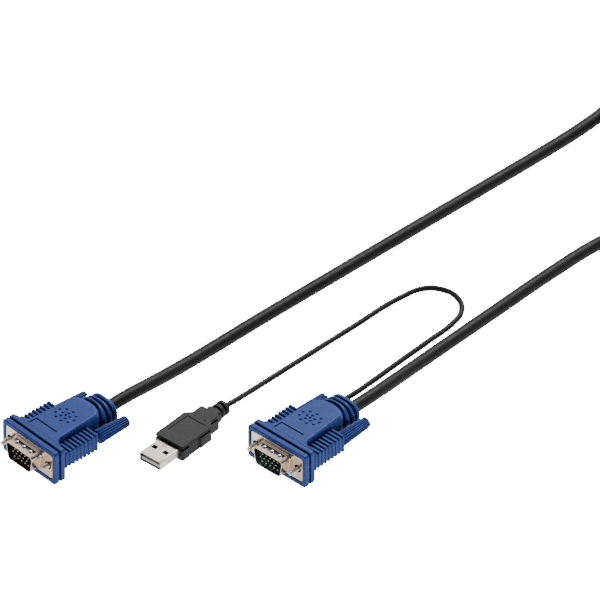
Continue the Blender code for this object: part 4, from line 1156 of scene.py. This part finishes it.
def usb_overmould_mesh():
    # Heights and how much slimmer the grip is there, in mm; a groove runs round it
    levels = (
        (0.0, 0.55),
        (0.12, 0.2),
        (0.3, 0.06),
        (0.6, 0.0),
        (5.55, 0.0),
        (5.7, 0.05),
        (5.8, 0.2),
        (5.82, 0.8),
        (6.98, 0.8),
        (7.0, 0.15),
        (7.08, 0.04),
        (7.2, 0.0),
        (7.55, 0.0),
        (7.78, 0.06),
        (7.93, 0.2),
        (8.0, 0.45),
    )
    grip = along_z([(z * mm, usb_outline(slim * mm)) for z, slim in levels])
    cutters = []
    for side in (-1, 1):
        middle = (side * 8.4 * mm, 12.5 * mm + 8.8 * mm)
        recess = box_outline(2.0 * mm, 7.6 * mm, 0.35 * mm, 4, middle)
        cutters.append(along_z([(-1.0 * mm, recess), (6.6 * mm, recess)]))
    hollow = box_outline(12.3 * mm, 4.8 * mm, 0.7 * mm, 4, (0.0, USB_AXIS))
    cutters.append(along_y([(11.5 * mm, hollow), (18.8 * mm, hollow)]))
    top = 8.0 * mm
    line = [(-5.3 * mm, 18.7 * mm), (-5.0 * mm, 31.2 * mm), (5.4 * mm, 30.9 * mm)]
    cutters += engraved_line(line, 0.45 * mm, top, 0.35 * mm)
    for side in (-1, 1):
        dot = circle_outline(0.32 * mm, 20, (side * 2.9 * mm, 33.6 * mm))
        cutters.append(along_z([(top - 0.4 * mm, dot), (top + 1.0 * mm, dot)]))
    grip = cut(grip, cutters)
    centre = (0.0, USB_AXIS)
    neck = []
    for y, inset in ((39.9, 0.0), (43.6, 0.0), (43.9, 0.1), (44.1, 0.4)):
        size = (7.8 * mm - 2 * inset * mm, 6.6 * mm - 2 * inset * mm)
        neck.append((y * mm, box_outline(*size, (2.0 - inset) * mm, 8, centre)))
    # Two rings of full radius on a slimmer core
    core, full, fillet, steps = 2.8 * mm, 3.6 * mm, 0.5 * mm, 4
    profile = [(43.1 * mm, core)]
    y = 44.1 * mm
    for last in (False, True):
        profile.append((y, core))
        y += 0.9 * mm
        profile.append((y - 0.03 * mm, core))
        for direction, order in ((1, range(steps + 1)), (-1, range(steps, -1, -1))):
            for step in order:
                turn = 0.5 * math.pi * step / steps
                reach = full - fillet * (1 - math.sin(turn))
                profile.append((y + direction * fillet * (1 - math.cos(turn)), reach))
            if direction > 0:
                y += 2.1 * mm
        if not last:
            profile.append((y + 0.03 * mm, core))
    relief = along_y([(y, circle_outline(radius, 40, centre)) for y, radius in profile])
    return merged([grip, along_y(neck), relief])


def add_usb_plug(materials):
    matrix = place_matrix(USB)
    contacts = [f"usb_contact_{index}" for index in range(1, 5)]
    rows = (
        ("usb_grip", usb_overmould_mesh(), "usb_black", "usb_black", ["usb_overmould"]),
        ("usb_stamping", usb_shell_mesh(), "bright_steel", "nickel", ["usb_shell"]),
        ("usb_tongue_block", usb_tongue_mesh(), "tongue_white", "tongue_white", ["usb_tongue"]),
        ("usb_contact_set", usb_contacts_mesh(), "gold", "gold", contacts),
    )
    for name, mesh, finish, slot, nodes in rows:
        add_piece(name, mesh, materials[finish], matrix, "cable", nodes)


# Floor and light


def add_floor():
    shape = bmesh.new()
    corners = square_outline(FLOOR_HALF, -FLOOR_HALF, FLOOR_HALF)
    shape.faces.new([shape.verts.new((x, y, 0.0)) for x, y in corners])
    mesh = mesh_of(shape, "floor")
    finish = Finish("pale_floor", (0.85, 0.85, 0.85), 0.9, specular=0.1)
    finish.vary_colour(finish.noise(3.0), 0.01)
    finish.glow(*FLOOR_STRENGTHS)
    mesh.materials.append(finish.material)
    floor = bpy.data.objects.new("floor", mesh)
    # Just below the part, so that nothing on it shares the floor's plane
    floor.location = (SCENE_MIDDLE[0], SCENE_MIDDLE[1], -0.0002)
    bpy.context.scene.collection.objects.link(floor)


def add_area(name, location, size, power):
    data = bpy.data.lights.new(name, "AREA")
    data.shape = "DISK"
    data.size = size
    data.energy = power
    data.color = (1.0, 1.0, 1.0)
    light = bpy.data.objects.new(name, data)
    light.location = location
    toward = Vector(SCENE_MIDDLE) - Vector(location)
    light.rotation_euler = toward.to_track_quat("-Z", "Y").to_euler()
    light.visible_camera = False
    bpy.context.scene.collection.objects.link(light)


def add_lights():
    world = bpy.data.worlds.new("studio")
    world.use_nodes = True
    nodes, links = world.node_tree.nodes, world.node_tree.links
    background = nodes["Background"]
    background.inputs["Color"].default_value = (1.0, 1.0, 1.0, 1.0)
    strength = strength_by_ray(nodes, links, *WORLD_STRENGTHS)
    # A bright far side and a dim near side give the plated parts their contrast
    sky = nodes.new("ShaderNodeTexCoord").outputs["Generated"]
    depth = nodes.new("ShaderNodeVectorMath")
    depth.operation = "DOT_PRODUCT"
    depth.inputs[1].default_value = (-0.68, 0.73, 0.0)
    links.new(sky, depth.inputs[0])
    side = nodes.new("ShaderNodeMapRange")
    for name, value in (("From Min", -0.4), ("From Max", 0.9), ("To Min", 0.12), ("To Max", 1.2)):
        side.inputs[name].default_value = value
    links.new(depth.outputs["Value"], side.inputs["Value"])
    graded = nodes.new("ShaderNodeMath")
    graded.operation = "MULTIPLY"
    links.new(strength, graded.inputs[0])
    links.new(side.outputs["Result"], graded.inputs[1])
    links.new(graded.outputs["Value"], background.inputs["Strength"])
    bpy.context.scene.world = world
    add_area("key", (-0.3, 1.05, 1.45), 0.8, 33.0)


make_camera()
materials = make_materials()
add_cords(materials)
add_video_plug("a", PLUG_A, "insulator_black", materials, 1.8 * mm, (35.0, 115.0))
add_video_plug("b", PLUG_B, "insulator_teal", materials, 0.0, (80.0, -25.0))
add_usb_plug(materials)
for node in ("a_left_clip", "a_right_clip", "b_left_clip", "b_right_clip"):
    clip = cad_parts[node]
    clip.data.materials.clear()
    clip.data.materials.append(materials["nickel"])
add_floor()
add_lights()
